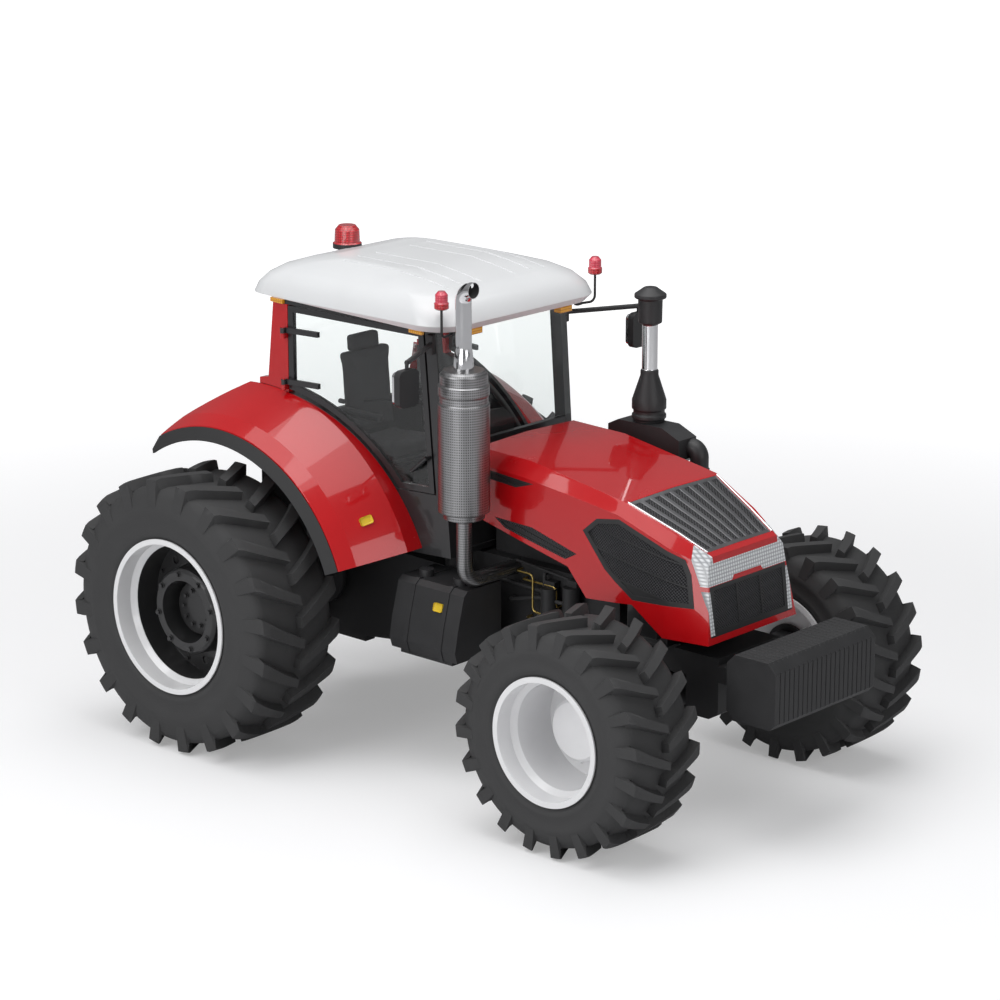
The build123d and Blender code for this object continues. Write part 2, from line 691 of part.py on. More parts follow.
def fuel_tank():
    """Left-hand fuel tank with the boarding steps on its outer side."""
    rear_x, front_x = fuel_tank_x
    inner_y, outer_y = fuel_tank_y
    with BuildPart() as tank:
        slice_x([(inner_y, tank_high_z), (outer_y - 40, tank_high_z), (outer_y, tank_high_z - 50),
                 (outer_y, tank_low_z), (outer_y - 40, tank_low_z - 40), (inner_y, tank_low_z - 40)],
                rear_x, front_x)
        block((rear_x + 80, transmission_half_width, tank_low_z - 70), (1400, outer_y - 40, tank_low_z - 40))
        for step_z in step_levels:
            block((1180, 900, step_z), (1560, 1130, step_z + 30))
        for step_x in (1160, 1560):
            block((step_x, outer_y - 1, 1060), (step_x + 20, 1130, 1110))
            block((step_x, 900, step_levels[0]), (step_x + 20, 1130, 1110))
    return tank.part


# ------------------------------------------------------------------ cab
def cab_half(x):
    """Half-width of the cab at a place along it: parallel at the rear, tapered ahead of the hinges."""
    return cab_half_width - max(0, x - door_rear_x) * math.tan(math.radians(cab_taper))


def cab_prism(inset=0.0, rear_x=cab_rear_x - 50):
    """Tall prism with the cab's plan, drawn in from its sides by an inset."""
    side = [(x, cab_half(x) - inset) for x in (rear_x, door_rear_x, cab_front_x + 50)]
    with BuildPart() as prism:
        upright(side + [(x, -y) for x, y in reversed(side)], cab_floor_z - 100, roof_base_z + 200)
    return prism.part


def wall(points, outer, inner, right_only=False):
    """A side-view outline cut out of the cab's side walls, between two depths from their faces."""
    with BuildPart() as walls:
        add(cab_prism(outer))
        add(cab_prism(inner), mode=Mode.SUBTRACT)
        plate(points, -cab_half_width - 1, 0 if right_only else cab_half_width + 1, Mode.INTERSECT)
    return walls.part


def header_line(x):
    """Underside of the header at a place along the cab."""
    return header_z + header_rise * (cab_front_x - x) / (cab_front_x - cab_rear_x)


def pillar_x(z):
    """Front face of the front pillars at a height."""
    return cab_front_x - pillar_lean * (z - cab_floor_z) / (header_z - cab_floor_z)


def arc_points(radius, front_x, rear_x, steps):
    """Points of a circle about the rear axle, from a place ahead to a place behind."""
    front_angle = math.acos(min(1, front_x / radius))
    rear_angle = math.acos(rear_x / radius)
    return [(radius * math.cos(a), rear_axle_z + radius * math.sin(a))
            for a in (front_angle + (rear_angle - front_angle) * i / steps for i in range(steps + 1))]


def cab_base():
    """Floor, seat platform, cowl, rear wall, side walls round the fenders and sills."""
    sill_low_z = sill_z - sill_height
    wall_front_x = 1100
    with BuildPart() as base:
        plate([(cab_front_x, cab_floor_z), (cab_front_x, cab_floor_z + cab_sheet),
               (560, cab_floor_z + cab_sheet), (470, cab_platform_z + cab_sheet),
               (cab_rear_x, cab_platform_z + cab_sheet), (cab_rear_x, cab_platform_z),
               (440, cab_platform_z), (530, cab_floor_z)], -cab_half_width, cab_half_width)
        plate([(cab_front_x, cab_floor_z), (pillar_x(cowl_top_z), cowl_top_z),
               (pillar_x(cowl_top_z) - cab_sheet, cowl_top_z), (cab_front_x - cab_sheet, cab_floor_z)],
              -cab_half_width, cab_half_width)
        block((cab_rear_x, -cab_half_width, cab_platform_z), (cab_rear_x + cab_sheet, cab_half_width, rear_wall_top_z))
        add(cab_prism(pillar_depth), mode=Mode.INTERSECT)
        add(wall([(wall_front_x, sill_low_z), *arc_points(fender_inner_radius, wall_front_x, cab_rear_x, 12),
                  (cab_rear_x, sill_low_z)], 0, pillar_depth))
        add(wall([(cab_rear_x, cab_platform_z), (440, cab_platform_z), (530, cab_floor_z), (cab_front_x, cab_floor_z),
                  (pillar_x(sill_z), sill_z), (wall_front_x, sill_z), (wall_front_x, sill_low_z),
                  (cab_rear_x, sill_low_z)], 0, pillar_depth))
    return base.part


def cab_frame():
    """Leaning front pillars and the header ring that carries the roof."""
    front_x = pillar_x(header_z)
    ring = [(rear_pillar_x, header_line(rear_pillar_x)), (front_x, header_line(front_x))]
    ring += [(x, z + header_height) for x, z in reversed(ring)]
    with BuildPart() as opening:
        add(cab_prism(pillar_depth + 30))
        block((rear_pillar_x + 100, -cab_half_width, header_z - 1),
              (front_x - pillar_width, cab_half_width, roof_base_z + 100), Mode.INTERSECT)
    with BuildPart() as frame:
        plate(ring, -cab_half_width, cab_half_width)
        add(cab_prism(), mode=Mode.INTERSECT)
        add(opening.part, mode=Mode.SUBTRACT)
        add(wall([(pillar_x(sill_z), sill_z), (front_x, header_line(front_x)),
                  (front_x - pillar_width, header_line(front_x - pillar_width)),
                  (pillar_x(sill_z) - pillar_width, sill_z)], 0, pillar_depth))
    return frame.part


def rear_pillars():
    """Rear pillars that grow out of the fenders' inner walls, with the doors' hinge leaves and pins."""
    front_x = door_rear_x - door_gap
    foot_z = rear_axle_z + math.sqrt(fender_inner_radius**2 - front_x**2)
    hinge_y = -cab_half_width - door_hinge_out
    with BuildPart() as leaves:
        for level in door_hinge_levels:
            bar((door_hinge_x, hinge_y, level - 36), (door_hinge_x, hinge_y, level - fit_gap), hinge_barrel_radius)
            bar((door_hinge_x, hinge_y, level - 36), (door_hinge_x, hinge_y, level + hinge_barrel_height + 4),
                hinge_pin_radius)
            block((door_hinge_x - 16, hinge_y, level - 36), (front_x, -cab_half_width + 1, level - fit_gap))
    with BuildPart() as pillars:
        add(wall([(cab_rear_x, foot_z + 60), (60, foot_z + 75), (rear_pillar_x, header_line(rear_pillar_x)),
                  (front_x, header_line(front_x)), (front_x, foot_z - 30), (cab_rear_x, foot_z - 30)],
                 0, pillar_depth))
        with BuildSketch(Plane.XZ.offset(-cab_half_width - 5)) as arc:
            with Locations((0, rear_axle_z)):
                Circle(fender_inner_radius)
        extrude(arc.sketch, amount=2 * cab_half_width + 10, mode=Mode.SUBTRACT)
        add(both_sides(leaves.part))
    return pillars.part


# The roof's levels: rise above its base, how far its sides, rear and front are drawn in, and
# the radii of its rear and front corners.
roof_levels = [
    (0, 30, 30, 40, 120, 230),
    (45, 0, 0, 0, 140, 240),
    (110, 18, 20, 30, 150, 240),
    (170, 60, 60, 100, 170, 240),
    (215, 130, 120, 210, 180, 240),
    (250, 240, 220, 380, 180, 220),
    (roof_height, 360, 420, 620, 150, 180),
]
roof_groove_lines = (160.0, 320.0, 450.0)


def roof_form():
    """The roof moulding, crowned and with rounded corners, over the slanted header."""
    sections = []
    for rise, side, rear, front, rear_corner, front_corner in roof_levels:
        half = roof_half_width - side
        with BuildSketch(Plane.XY.offset(roof_base_z + rise)) as section:
            with BuildLine():
                Polyline((roof_rear_x + rear, -half), (roof_front_x - front, -half),
                         (roof_front_x - front, half), (roof_rear_x + rear, half), close=True)
            make_face()
            fillet(section.vertices().sort_by(Axis.X)[:2], radius=rear_corner)
            fillet(section.vertices().sort_by(Axis.X)[-2:], radius=front_corner)
        sections.append(section.sketch)
    with BuildPart() as form:
        loft(sections, ruled=True)
        plate([(roof_rear_x - 50, header_z - 50), (cab_front_x, header_z - 50), (cab_front_x, roof_base_z),
               (roof_rear_x - 50, header_line(roof_rear_x - 50) + header_height)],
              -2 * roof_half_width, 2 * roof_half_width, Mode.SUBTRACT)
    return form.part


def cab_roof():
    """Crowned roof moulding with shallow grooves along its top."""
    moulding = roof_form()
    with BuildPart() as grooves:
        for line in roof_groove_lines:
            for side in (-1, 1):
                low, high = strip(side, line - roof_groove_width / 2, line + roof_groove_width / 2)
                block((440, low, roof_base_z + 200), (1350, high, roof_base_z + roof_height + 1))
        add(moulding.moved(Location((0, 0, -roof_groove_depth))), mode=Mode.SUBTRACT)
    with BuildPart() as roof:
        add(moulding)
        add(grooves.part, mode=Mode.SUBTRACT)
    return roof.part


def cab_glass():
    """Windscreen on the front pillars and the rear window between the rear ones."""
    foot_z = cowl_top_z + 10
    with BuildPart() as glass:
        top_x, foot_x = pillar_x(header_z) + fit_gap, pillar_x(foot_z) + fit_gap
        plate([(foot_x, foot_z), (top_x, header_z), (top_x + glass_thickness, header_z),
               (foot_x + glass_thickness, foot_z)], -cab_half_width, cab_half_width)
        plate([(cab_rear_x + 10, rear_wall_top_z + fit_gap),
               (cab_rear_x + 10 + glass_thickness, rear_wall_top_z + fit_gap),
               (rear_pillar_x + 26, header_line(rear_pillar_x + 26) - fit_gap),
               (rear_pillar_x + 20, header_line(rear_pillar_x + 20) - fit_gap)],
              fit_gap + pillar_depth - cab_half_width, cab_half_width - pillar_depth - fit_gap)
        add(cab_prism(8), mode=Mode.INTERSECT)
    return glass.part


def door_outline(inset):
    """Side-view outline of the door, drawn in by an inset."""
    rear_x = door_rear_x + inset
    low_z = sill_z + door_gap + inset
    radius = door_arc_radius + inset
    front_gap = pillar_width + door_front_gap + inset
    high_front_x = pillar_x(header_z) - front_gap
    arc_front_x = math.sqrt(radius**2 - (low_z - rear_axle_z) ** 2)
    return [(pillar_x(low_z) - front_gap, low_z), *arc_points(radius, arc_front_x, rear_x, 10),
            (rear_x, header_line(rear_x) - door_gap - inset),
            (high_front_x, header_line(high_front_x) - door_gap - inset)]


def door():
    """Right door: frame of one bent profile round its glass, with two hinge straps and a handle."""
    hinge_y = -cab_half_width - door_hinge_out
    strap_out = [(x, -cab_half(x) - hinge_strap_sheet) for x in (door_hinge_x, door_rear_x, hinge_strap_end_x)]
    strap_in = [(hinge_strap_end_x, -cab_half(hinge_strap_end_x) + 1), (door_rear_x + 1, -cab_half_width + 1),
                (door_rear_x + 1, -cab_half_width - run_gap), (door_hinge_x, -cab_half_width - run_gap)]
    with BuildPart() as leaf:
        add(wall(door_outline(0), 0, door_thickness, right_only=True))
        add(wall(door_outline(door_frame), -1, door_thickness + 1, right_only=True), mode=Mode.SUBTRACT)
        for level in door_hinge_levels:
            upright(strap_out + strap_in, level, level + hinge_barrel_height)
            bar((door_hinge_x, hinge_y, level), (door_hinge_x, hinge_y, level + hinge_barrel_height),
                hinge_barrel_radius)
            bar((door_hinge_x, hinge_y, level), (door_hinge_x, hinge_y, level + hinge_barrel_height),
                hinge_pin_radius + spin_gap, Mode.SUBTRACT)
        handle_x = pillar_x(1995) - pillar_width - door_front_gap - 14
        for x, z in ((handle_x, 1995), (handle_x - 100, 1905)):
            bar((x, -cab_half(x) + 2, z), (x, -cab_half(x) - 42, z), 11)
        bar((handle_x + 8, -cab_half(handle_x) - 42, 2002), (handle_x - 108, -cab_half(handle_x - 100) - 42, 1898), 12)
    return leaf.part


def door_glass():
    """Right door's pane inside its frame."""
    middle = door_thickness / 2
    return wall(door_outline(door_frame + fit_gap), middle - glass_thickness / 2, middle + glass_thickness / 2,
                right_only=True)


# ------------------------------------------------------------------ mudguards
# The mudguards' rear ends are cut by one slanting plane, given by a point and its forward normal.
guard_cut_point = (-100.0, -750.0, 2260.0)
guard_cut_normal = (0.762, -0.590, -0.265)


def turned_sheet(section, front_angle, rear_angle):
    """Turn a (y, radius) section about the rear axle between two angles above level."""
    rear = math.radians(rear_angle)
    plane = Plane(origin=(0, 0, rear_axle_z), x_dir=(0, 1, 0), z_dir=(math.sin(rear), 0, -math.cos(rear)))
    with BuildSketch(plane) as outline:
        with BuildLine():
            Polyline(*section, close=True)
        make_face()
    revolve(outline.sketch, axis=Axis((0, 0, rear_axle_z), (0, 1, 0)), revolution_arc=rear_angle - front_angle)
    split(bisect_by=Plane(origin=guard_cut_point, z_dir=guard_cut_normal), keep=Keep.TOP)


def fenders():
    """Rear mudguards: a sheet turned about the axle, from the cab's wall over the crest."""
    section = [(-cab_half(cab_front_x) + 20, fender_inner_radius), (-cab_half_width, fender_inner_radius),
               (-fender_crest_y, fender_crest_radius), (-fender_edge_y, fender_edge_radius)]
    sheet = section + [(y, r - fender_sheet) for y, r in reversed(section)]
    with BuildPart() as guard:
        turned_sheet(sheet, fender_front_angle, fender_rear_angle)
        add(cab_prism(rear_x=cab_rear_x - 1500), mode=Mode.SUBTRACT)
    return both_sides(guard.part)


def fender_lips():
    """Rubber edges that carry the mudguards' line down over the tyres."""
    drop = fender_edge_radius - fender_sheet
    sheet = [(-fender_edge_y + 60, drop - fit_gap), (-fender_edge_y, drop - fit_gap),
             (-fender_edge_y - 6, fender_edge_radius - 4), (-lip_y, lip_radius),
             (-lip_y + lip_sheet, lip_radius), (-fender_edge_y + 60, drop - lip_sheet)]
    with BuildPart() as lip:
        turned_sheet(sheet, fender_front_angle, lip_rear_angle)
    return both_sides(lip.part)


# ------------------------------------------------------------------ inside the cab
def seat():
    """Driver's seat: suspension base, cushion, backrest, head rest and armrests."""
    floor = cab_platform_z + cab_sheet
    with BuildPart() as chair:
        block((250, -160, floor), (460, 160, floor + 200))
        plate([(180, floor + 200), (640, floor + 200), (700, floor + 240), (690, floor + 320), (240, floor + 300),
               (200, floor + 960), (170, floor + 1000), (110, floor + 1000), (95, floor + 960), (150, floor + 300)],
              -250, 250)
        for side in (-1, 1):
            low, high = strip(side, 250, 310)
            block((230, low, floor + 300), (290, high, floor + 560))
            block((230, low, floor + 500), (600, high, floor + 560))
    return chair.part


def dashboard():
    """Steering console and instrument pod behind the windscreen."""
    with BuildPart() as console:
        plate([(1230, cab_floor_z + cab_sheet), (1060, 1900), (1020, 2030), (1080, 2110), (1240, 2150), (1330, 2100),
               (1380, cab_floor_z + cab_sheet)], -180, 180)
        bar((1030, 0, 2030), (985, 0, 2120), 24 + fit_gap, Mode.SUBTRACT)
    return console.part


def steering_wheel():
    """Steering wheel on its tilted column."""
    rim_plane = Plane(origin=(985, 0, 2120), z_dir=(-0.5, 0, 1))
    with BuildPart() as wheel:
        with BuildSketch(rim_plane) as ring:
            Circle(215)
            Circle(185, mode=Mode.SUBTRACT)
            Rectangle(400, 40)
            Circle(50)
        extrude(ring.sketch, amount=24)
        bar((1030, 0, 2030), (985, 0, 2120), 24)
    return wheel.part


# ------------------------------------------------------------------ lamps, mirrors and trim
def mirrors():
    """Mirror arms on the cab's front pillars with their hanging heads."""
    arm_z, head_x, head_y = 2720.0, 1600.0, -1090.0
    foot_x = pillar_x(arm_z)
    foot_y = -cab_half(foot_x)
    with BuildPart() as mirror:
        upright([(foot_x - 55, foot_y - 30), (foot_x - 5, foot_y - 30), (foot_x - 5, -cab_half(foot_x - 5)),
                 (foot_x - 55, -cab_half(foot_x - 55))], arm_z - 60, arm_z + 60)
        bar((foot_x - 28, foot_y - 20, arm_z), (head_x, head_y, arm_z), 16)
        bar((head_x, head_y, arm_z + 14), (head_x, head_y, arm_z - 80), 12)
        with BuildSketch(Plane.YZ.offset(head_x - 22)) as head:
            with Locations((head_y - 5, arm_z - 155)):
                RectangleRounded(170, 230, 40)
        extrude(head.sketch, amount=46)
    return both_sides(mirror.part)


# Radii and levels of the roof beacon above its base plate: stem in the roof's slope, plate and dome.
beacon_rings = [(60, -90), (60, 0), (95, 0), (95, 32), (84, 40), (80, 120), (56, 150)]


def roof_beacon():
    """Round warning lamp on the rear slope of the roof's crown."""
    with BuildPart() as beacon:
        turned_post([(radius, roof_base_z + 238 + rise) for radius, rise in beacon_rings], 30, 0)
        add(roof_form(), mode=Mode.SUBTRACT)
    return beacon.part


def corner_beacons():
    """Small domed lamps on bent stalks outside the roof's front corners."""
    stalk_x, stalk_y = roof_front_x - 58, -roof_half_width + 55
    foot_z = roof_base_z - 18
    head_z = roof_base_z + 160
    with BuildPart() as lamp:
        block((cab_front_x, stalk_y + 115, roof_base_z - 26), (cab_front_x + 30, stalk_y + 155, roof_base_z))
        pipe([(cab_front_x + 15, stalk_y + 135, foot_z), (stalk_x, stalk_y, foot_z), (stalk_x, stalk_y, head_z + 1)],
             8, 40)
        turned_post([(36, head_z), (46, head_z + 8), (46, head_z + 40), (40, head_z + 46), (40, head_z + 92),
                     (22, head_z + 114)], stalk_x, stalk_y)
    return both_sides(lamp.part)


def marker_lamps():
    """Amber markers under the roof's edge and visor, and the rear lamps on the cab's back wall."""
    with BuildPart() as lamps:
        block((cab_front_x, -478, roof_base_z - 40), (cab_front_x + 60, -368, roof_base_z))
        for x, outer_y in ((170, cab_half_width + 25), (1330, roof_half_width - 40)):
            ends = [(x - 55, header_line(x - 55)), (x + 55, header_line(x + 55))]
            plate([(a, z + 2) for a, z in ends] + [(a, z + header_height) for a, z in reversed(ends)],
                  -outer_y, 25 - outer_y)
        block((cab_rear_x - 30, -700, rear_wall_top_z - 190), (cab_rear_x, -560, rear_wall_top_z - 110))
    return both_sides(lamps.part)


# ------------------------------------------------------------------ hood
# Cross-sections along the hood: x, shoulder half-width and height, edge half-width and height,
# half-width of the side panels' foot, and the crown's rise over the shoulders.
hood_sections = [
    (1600, 450, 2075, 500, 1985, 545, 14),
    (2030, 450, 2062, 503, 1965, 552, 12),
    (wheelbase - 215, 444, 1940, 500, 1868, 545, 10),
    (wheelbase + 135, 385, 1790, 450, 1720, 515, 6),
    (wheelbase + 475, 285, 1625, 325, 1580, 445, 0),
]
nose_top = (wheelbase + 364, 1676)
nose_foot = (wheelbase + 438, 1160)
hood_side = 700.0  # further out than the hood's widest place

side_grille = [(wheelbase - 480, 1724), (wheelbase - 376, 1815), (wheelbase - 205, 1842), (wheelbase + 135, 1700),
               (wheelbase + 240, 1658), (wheelbase + 283, 1572), (wheelbase + 322, 1372), (wheelbase - 85, 1364),
               (wheelbase - 296, 1516)]
upper_vent = [(1741, 1960), (2100, 1935), (1958, 1890), (1741, 1905)]
lower_vent = [(1792, 1675), (2102, 1665), (2465, 1567), (2378, 1519), (1883, 1620)]
louvre_top = [(wheelbase - 195, 415), (wheelbase + 325, 300), (wheelbase + 325, -300), (wheelbase - 195, -415)]
louvre_slots = 9
mask_face = [(367, 1505), (396, 1205), (-396, 1205), (-367, 1505)]
mask_windows = ((-330, -120), (-105, 105), (120, 330))  # low and high Y
lamp_band = [(345, 1640), (398, 1508), (150, 1508), (130, 1535), (-130, 1535), (-150, 1508), (-398, 1508), (-345, 1640)]
lamp_side = [(wheelbase + 240, 1760), (wheelbase + 305, 1752), (wheelbase + 385, 1690), (wheelbase + 385, 1508),
             (wheelbase + 335, 1520), (wheelbase + 277, 1650)]
lamp_inner = [(wheelbase + 235, 341), (wheelbase + 390, 308), (wheelbase + 390, 500), (wheelbase + 235, 500)]  # plan
corner_lamp = [(356, 1215), (398, 1215), (398, 1480), (366, 1480)]


def hood_form(inset):
    """The hood's closed outer form, or the form that lies an inset inside it."""
    low_z = 1060 - 5 * inset
    sections = []
    for x, shoulder, shoulder_z, edge, edge_z, foot, crown in hood_sections:
        shift = -1 if x == hood_sections[0][0] and inset else 0
        half = [(foot - inset, low_z), (edge - inset, edge_z - inset), (shoulder - inset, shoulder_z - inset)]
        with BuildSketch(Plane.YZ.offset(x + shift)) as section:
            with BuildLine():
                Polyline(*half, (0, shoulder_z + crown - inset + 0.01), *[(-y, z) for y, z in reversed(half)],
                         close=True)
            make_face()
        sections.append(section.sketch)
    (top_x, top_z), (foot_x, foot_z) = nose_top, nose_foot
    lean = (foot_x - top_x) / (top_z - foot_z)
    with BuildPart() as form:
        loft(sections, ruled=True)
        plate([(top_x - lean * 500 - inset, top_z + 500), (foot_x + lean * 300 - inset, foot_z - 300),
               (foot_x + 700, foot_z - 300), (foot_x + 700, top_z + 500)], -hood_side, hood_side, Mode.SUBTRACT)
    return form.part


def hood_shell():
    """Open-bottomed hood skin with its stepped lower edge."""
    with BuildPart() as shell:
        add(hood_form(0))
        add(hood_form(hood_wall), mode=Mode.SUBTRACT)
        plate([(1500, 900), (1500, 1660), (1701, 1634), (2398, 1477), (2555, 1310), (wheelbase - 87, 1336),
               (wheelbase + 141, 1172), (wheelbase + 715, 1160), (wheelbase + 715, 900)],
              -hood_side, hood_side, Mode.SUBTRACT)
    return shell.part


def grille_opening(gap):
    """Prisms through the hood's sides for the grille and the two vents."""
    with BuildPart() as opening:
        for outline in (side_grille, upper_vent, lower_vent):
            plate(outline, -hood_side, -hood_sections[-1][1], grow=-gap)
    return both_sides(opening.part)


def louvre_opening(gap):
    """Prism through the hood's sloping top."""
    with BuildPart() as opening:
        upright(louvre_top, nose_top[1] - 100, hood_sections[0][2] + 50, grow=-gap)
    return opening.part


def mask_opening(gap):
    """Prism through the nose for the mask."""
    with BuildPart() as opening:
        slice_x(mask_face, nose_top[0] - 60, nose_foot[0] + 50, grow=-gap)
    return opening.part


def lamp_opening(gap):
    """Prisms for the headlamp band, its ends round the nose's corners and the corner lamps."""
    with BuildPart() as end:
        upright(lamp_inner, nose_foot[1], hood_sections[0][2], grow=-gap)
        plate(lamp_side, 0, hood_side, Mode.INTERSECT, grow=-gap)
    with BuildPart() as opening:
        slice_x(lamp_band, nose_top[0] - 30, nose_foot[0] + 50, grow=-gap)
        add(both_sides(end.part))
        for side in (-1, 1):
            slice_x([(side * y, z) for y, z in corner_lamp], nose_top[0] - 20, nose_foot[0] + 50, grow=-gap)
    return opening.part


def recess(windows, depth=5.0):
    """The outer layer of the hood's skin inside some windows, to be cut from a panel."""
    with BuildPart() as layer:
        add(hood_form(0))
        add(hood_form(depth), mode=Mode.SUBTRACT)
        add(windows, mode=Mode.INTERSECT)
    return layer.part


def hood():
    """Hood skin with openings for the grilles, louvres, mask and lamps, and its hinge lugs."""
    crown_z = hood_sections[0][2]
    with BuildPart() as skin:
        add(hood_shell())
        for opening in (grille_opening(0), louvre_opening(0), mask_opening(0), lamp_opening(0)):
            add(opening, mode=Mode.SUBTRACT)
        for side in (-1, 1):
            low, high = strip(side, 186, 200)
            plate([(hood_hinge_x - 20, hood_hinge_z - 15), (hood_hinge_x + 20, hood_hinge_z - 15),
                   (hood_hinge_x + 60, crown_z), (hood_hinge_x - 50, crown_z)], low, high)
            bar((hood_hinge_x, side * 150, hood_hinge_z), (hood_hinge_x, side * 201, hood_hinge_z), hinge_pin_radius)
    return skin.part


def hood_hinge():
    """Bracket on the engine that carries the hood's hinge pins."""
    with BuildPart() as bracket:
        for side in (-1, 1):
            low, high = strip(side, 160, 180)
            plate([(hood_hinge_x - 24, engine_deck_z + 300), (hood_hinge_x + 60, engine_deck_z + 300),
                   (hood_hinge_x + 24, hood_hinge_z + 20), (hood_hinge_x - 24, hood_hinge_z + 20)], low, high)
            bar((hood_hinge_x, side * 150, hood_hinge_z), (hood_hinge_x, side * 200, hood_hinge_z),
                hinge_pin_radius + spin_gap, Mode.SUBTRACT)
    return bracket.part


def side_grilles():
    """Side grilles with three slanting bars, and the slotted vents behind them."""
    angle = math.degrees(math.atan(-0.234))
    with BuildPart() as windows:
        for outline, frame, bars in ((side_grille, grille_frame, ((2900, 1450), (2900, 1575), (2900, 1700))),
                                     (upper_vent, 12, ((1850, 1924),)), (lower_vent, 14, ((2110, 1618),))):
            with BuildSketch(Plane.XZ.offset(-hood_side)) as window:
                with BuildLine():
                    Polyline(*outline, close=True)
                make_face()
                offset(amount=-frame, kind=Kind.INTERSECTION, mode=Mode.REPLACE)
                for x, z in bars:
                    with Locations(Location((x, z), angle)):
                        Rectangle(1400, grille_bar, mode=Mode.SUBTRACT)
            extrude(window.sketch, amount=2 * hood_side)
    with BuildPart() as grilles:
        add(hood_shell())
        add(grille_opening(fit_gap), mode=Mode.INTERSECT)
        add(recess(windows.part), mode=Mode.SUBTRACT)
    return grilles.part


def top_louvres():
    """Louvred grille in the hood's sloping top, its slots converging towards the nose."""
    (rear_x, rear_half), (front_x, front_half) = louvre_top[:2]
    with BuildPart() as slots:
        for index in range(louvre_slots):
            share = (index - (louvre_slots - 1) / 2) / (louvre_slots / 2)
            half = 0.62 / louvre_slots
            upright([(rear_x + 25, rear_half * (share - half)), (front_x - 25, front_half * (share - half)),
                     (front_x - 25, front_half * (share + half)), (rear_x + 25, rear_half * (share + half))],
                    nose_top[1] - 100, hood_sections[0][2] + 50)
    with BuildPart() as louvres:
        add(hood_shell())
        add(louvre_opening(fit_gap), mode=Mode.INTERSECT)
        add(recess(slots.part, 6.0), mode=Mode.SUBTRACT)
    return louvres.part


def nose_mask():
    """Mask on the hood's face with three recessed meshes."""
    with BuildPart() as windows:
        for low, high in mask_windows:
            slice_x([(low, 1240), (high, 1240), (high, 1480), (low, 1480)], nose_top[0] - 60, nose_foot[0] + 50)
    with BuildPart() as face:
        add(hood_shell())
        add(mask_opening(fit_gap), mode=Mode.INTERSECT)
        add(lamp_opening(fit_gap), mode=Mode.SUBTRACT)
        add(recess(windows.part), mode=Mode.SUBTRACT)
    return face.part


def headlamps():
    """Headlamp band round the nose's corners, and the two corner lamps beside the mask."""
    with BuildPart() as lamps:
        add(hood_shell())
        add(lamp_opening(fit_gap), mode=Mode.INTERSECT)
    return lamps.part


# ------------------------------------------------------------------ three-point linkage
def lower_links():
    """Two lower links with their ball eyes, tied by a stabiliser bar."""
    with BuildPart() as links:
        for side in (-1, 1):
            low, high = strip(side, link_y - link_width / 2, link_y + link_width / 2)
            plate([(link_pivot_x, link_pivot_z + link_half_height), (link_end_x, link_end_z + link_half_height),
                   (link_end_x, link_end_z - link_half_height), (link_pivot_x, link_pivot_z - link_half_height)],
                  low, high)
            bar((link_pivot_x, low, link_pivot_z), (link_pivot_x, high, link_pivot_z), 42)
            bar((link_end_x, low, link_end_z), (link_end_x, high, link_end_z), link_eye_radius)
            pin_z = link_pivot_z - lift_drop
            bar((lift_end_x, side * link_y, pin_z), (lift_end_x, side * (link_y + 43), pin_z), lift_pin_radius)
            bar((link_pivot_x, low, link_pivot_z), (link_pivot_x, high, link_pivot_z), link_pin_radius + spin_gap,
                Mode.SUBTRACT)
            bar((link_end_x, low, link_end_z), (link_end_x, high, link_end_z), link_bore_radius, Mode.SUBTRACT)
        tie_x = link_pivot_x - 0.65 * link_length
        tie_z = link_pivot_z - 0.65 * (link_pivot_z - link_end_z)
        bar((tie_x, -link_y, tie_z), (tie_x, link_y, tie_z), 16)
    return links.part


def top_link():
    """Turnbuckle top link resting on its bracket's cross bar, with an eye at each end."""
    rise = math.radians(top_link_rise)
    end_x = top_link_x - top_link_length * math.cos(rise)
    end_z = top_link_z + top_link_length * math.sin(rise)
    half = top_link_half_eye
    with BuildPart() as link:
        bar((top_link_x, 0, top_link_z), (end_x, 0, end_z), top_link_tube_radius)
        bar((top_link_x, -half, top_link_z), (top_link_x, half, top_link_z), 34)
        bar((end_x, -half, end_z), (end_x, half, end_z), 38)
        bar((top_link_x, -60, top_link_z), (top_link_x, 60, top_link_z), top_link_bore_radius - spin_gap)
        bar((end_x, -half, end_z), (end_x, half, end_z), top_link_bore_radius, Mode.SUBTRACT)
    return link.part


def lift_arms():
    """Lift shaft across the housing with an arm and pin on each end."""
    end_z = lift_pivot_z - lift_drop
    with BuildPart() as arms:
        bar((link_pivot_x, -link_y, lift_pivot_z), (link_pivot_x, link_y, lift_pivot_z), lift_shaft_radius)
        for side in (-1, 1):
            low, high = strip(side, link_y - link_width / 2, link_y + link_width / 2)
            plate([(link_pivot_x, lift_pivot_z + 60), (lift_end_x, end_z + 32), (lift_end_x, end_z - 32),
                   (link_pivot_x, lift_pivot_z - 60)], low, high)
            bar((link_pivot_x, low, lift_pivot_z), (link_pivot_x, high, lift_pivot_z), 70)
            bar((lift_end_x, low, end_z), (lift_end_x, high, end_z), 34)
            bar((lift_end_x, side * link_y, end_z), (lift_end_x, side * (link_y + 43), end_z), lift_pin_radius)
    return arms.part


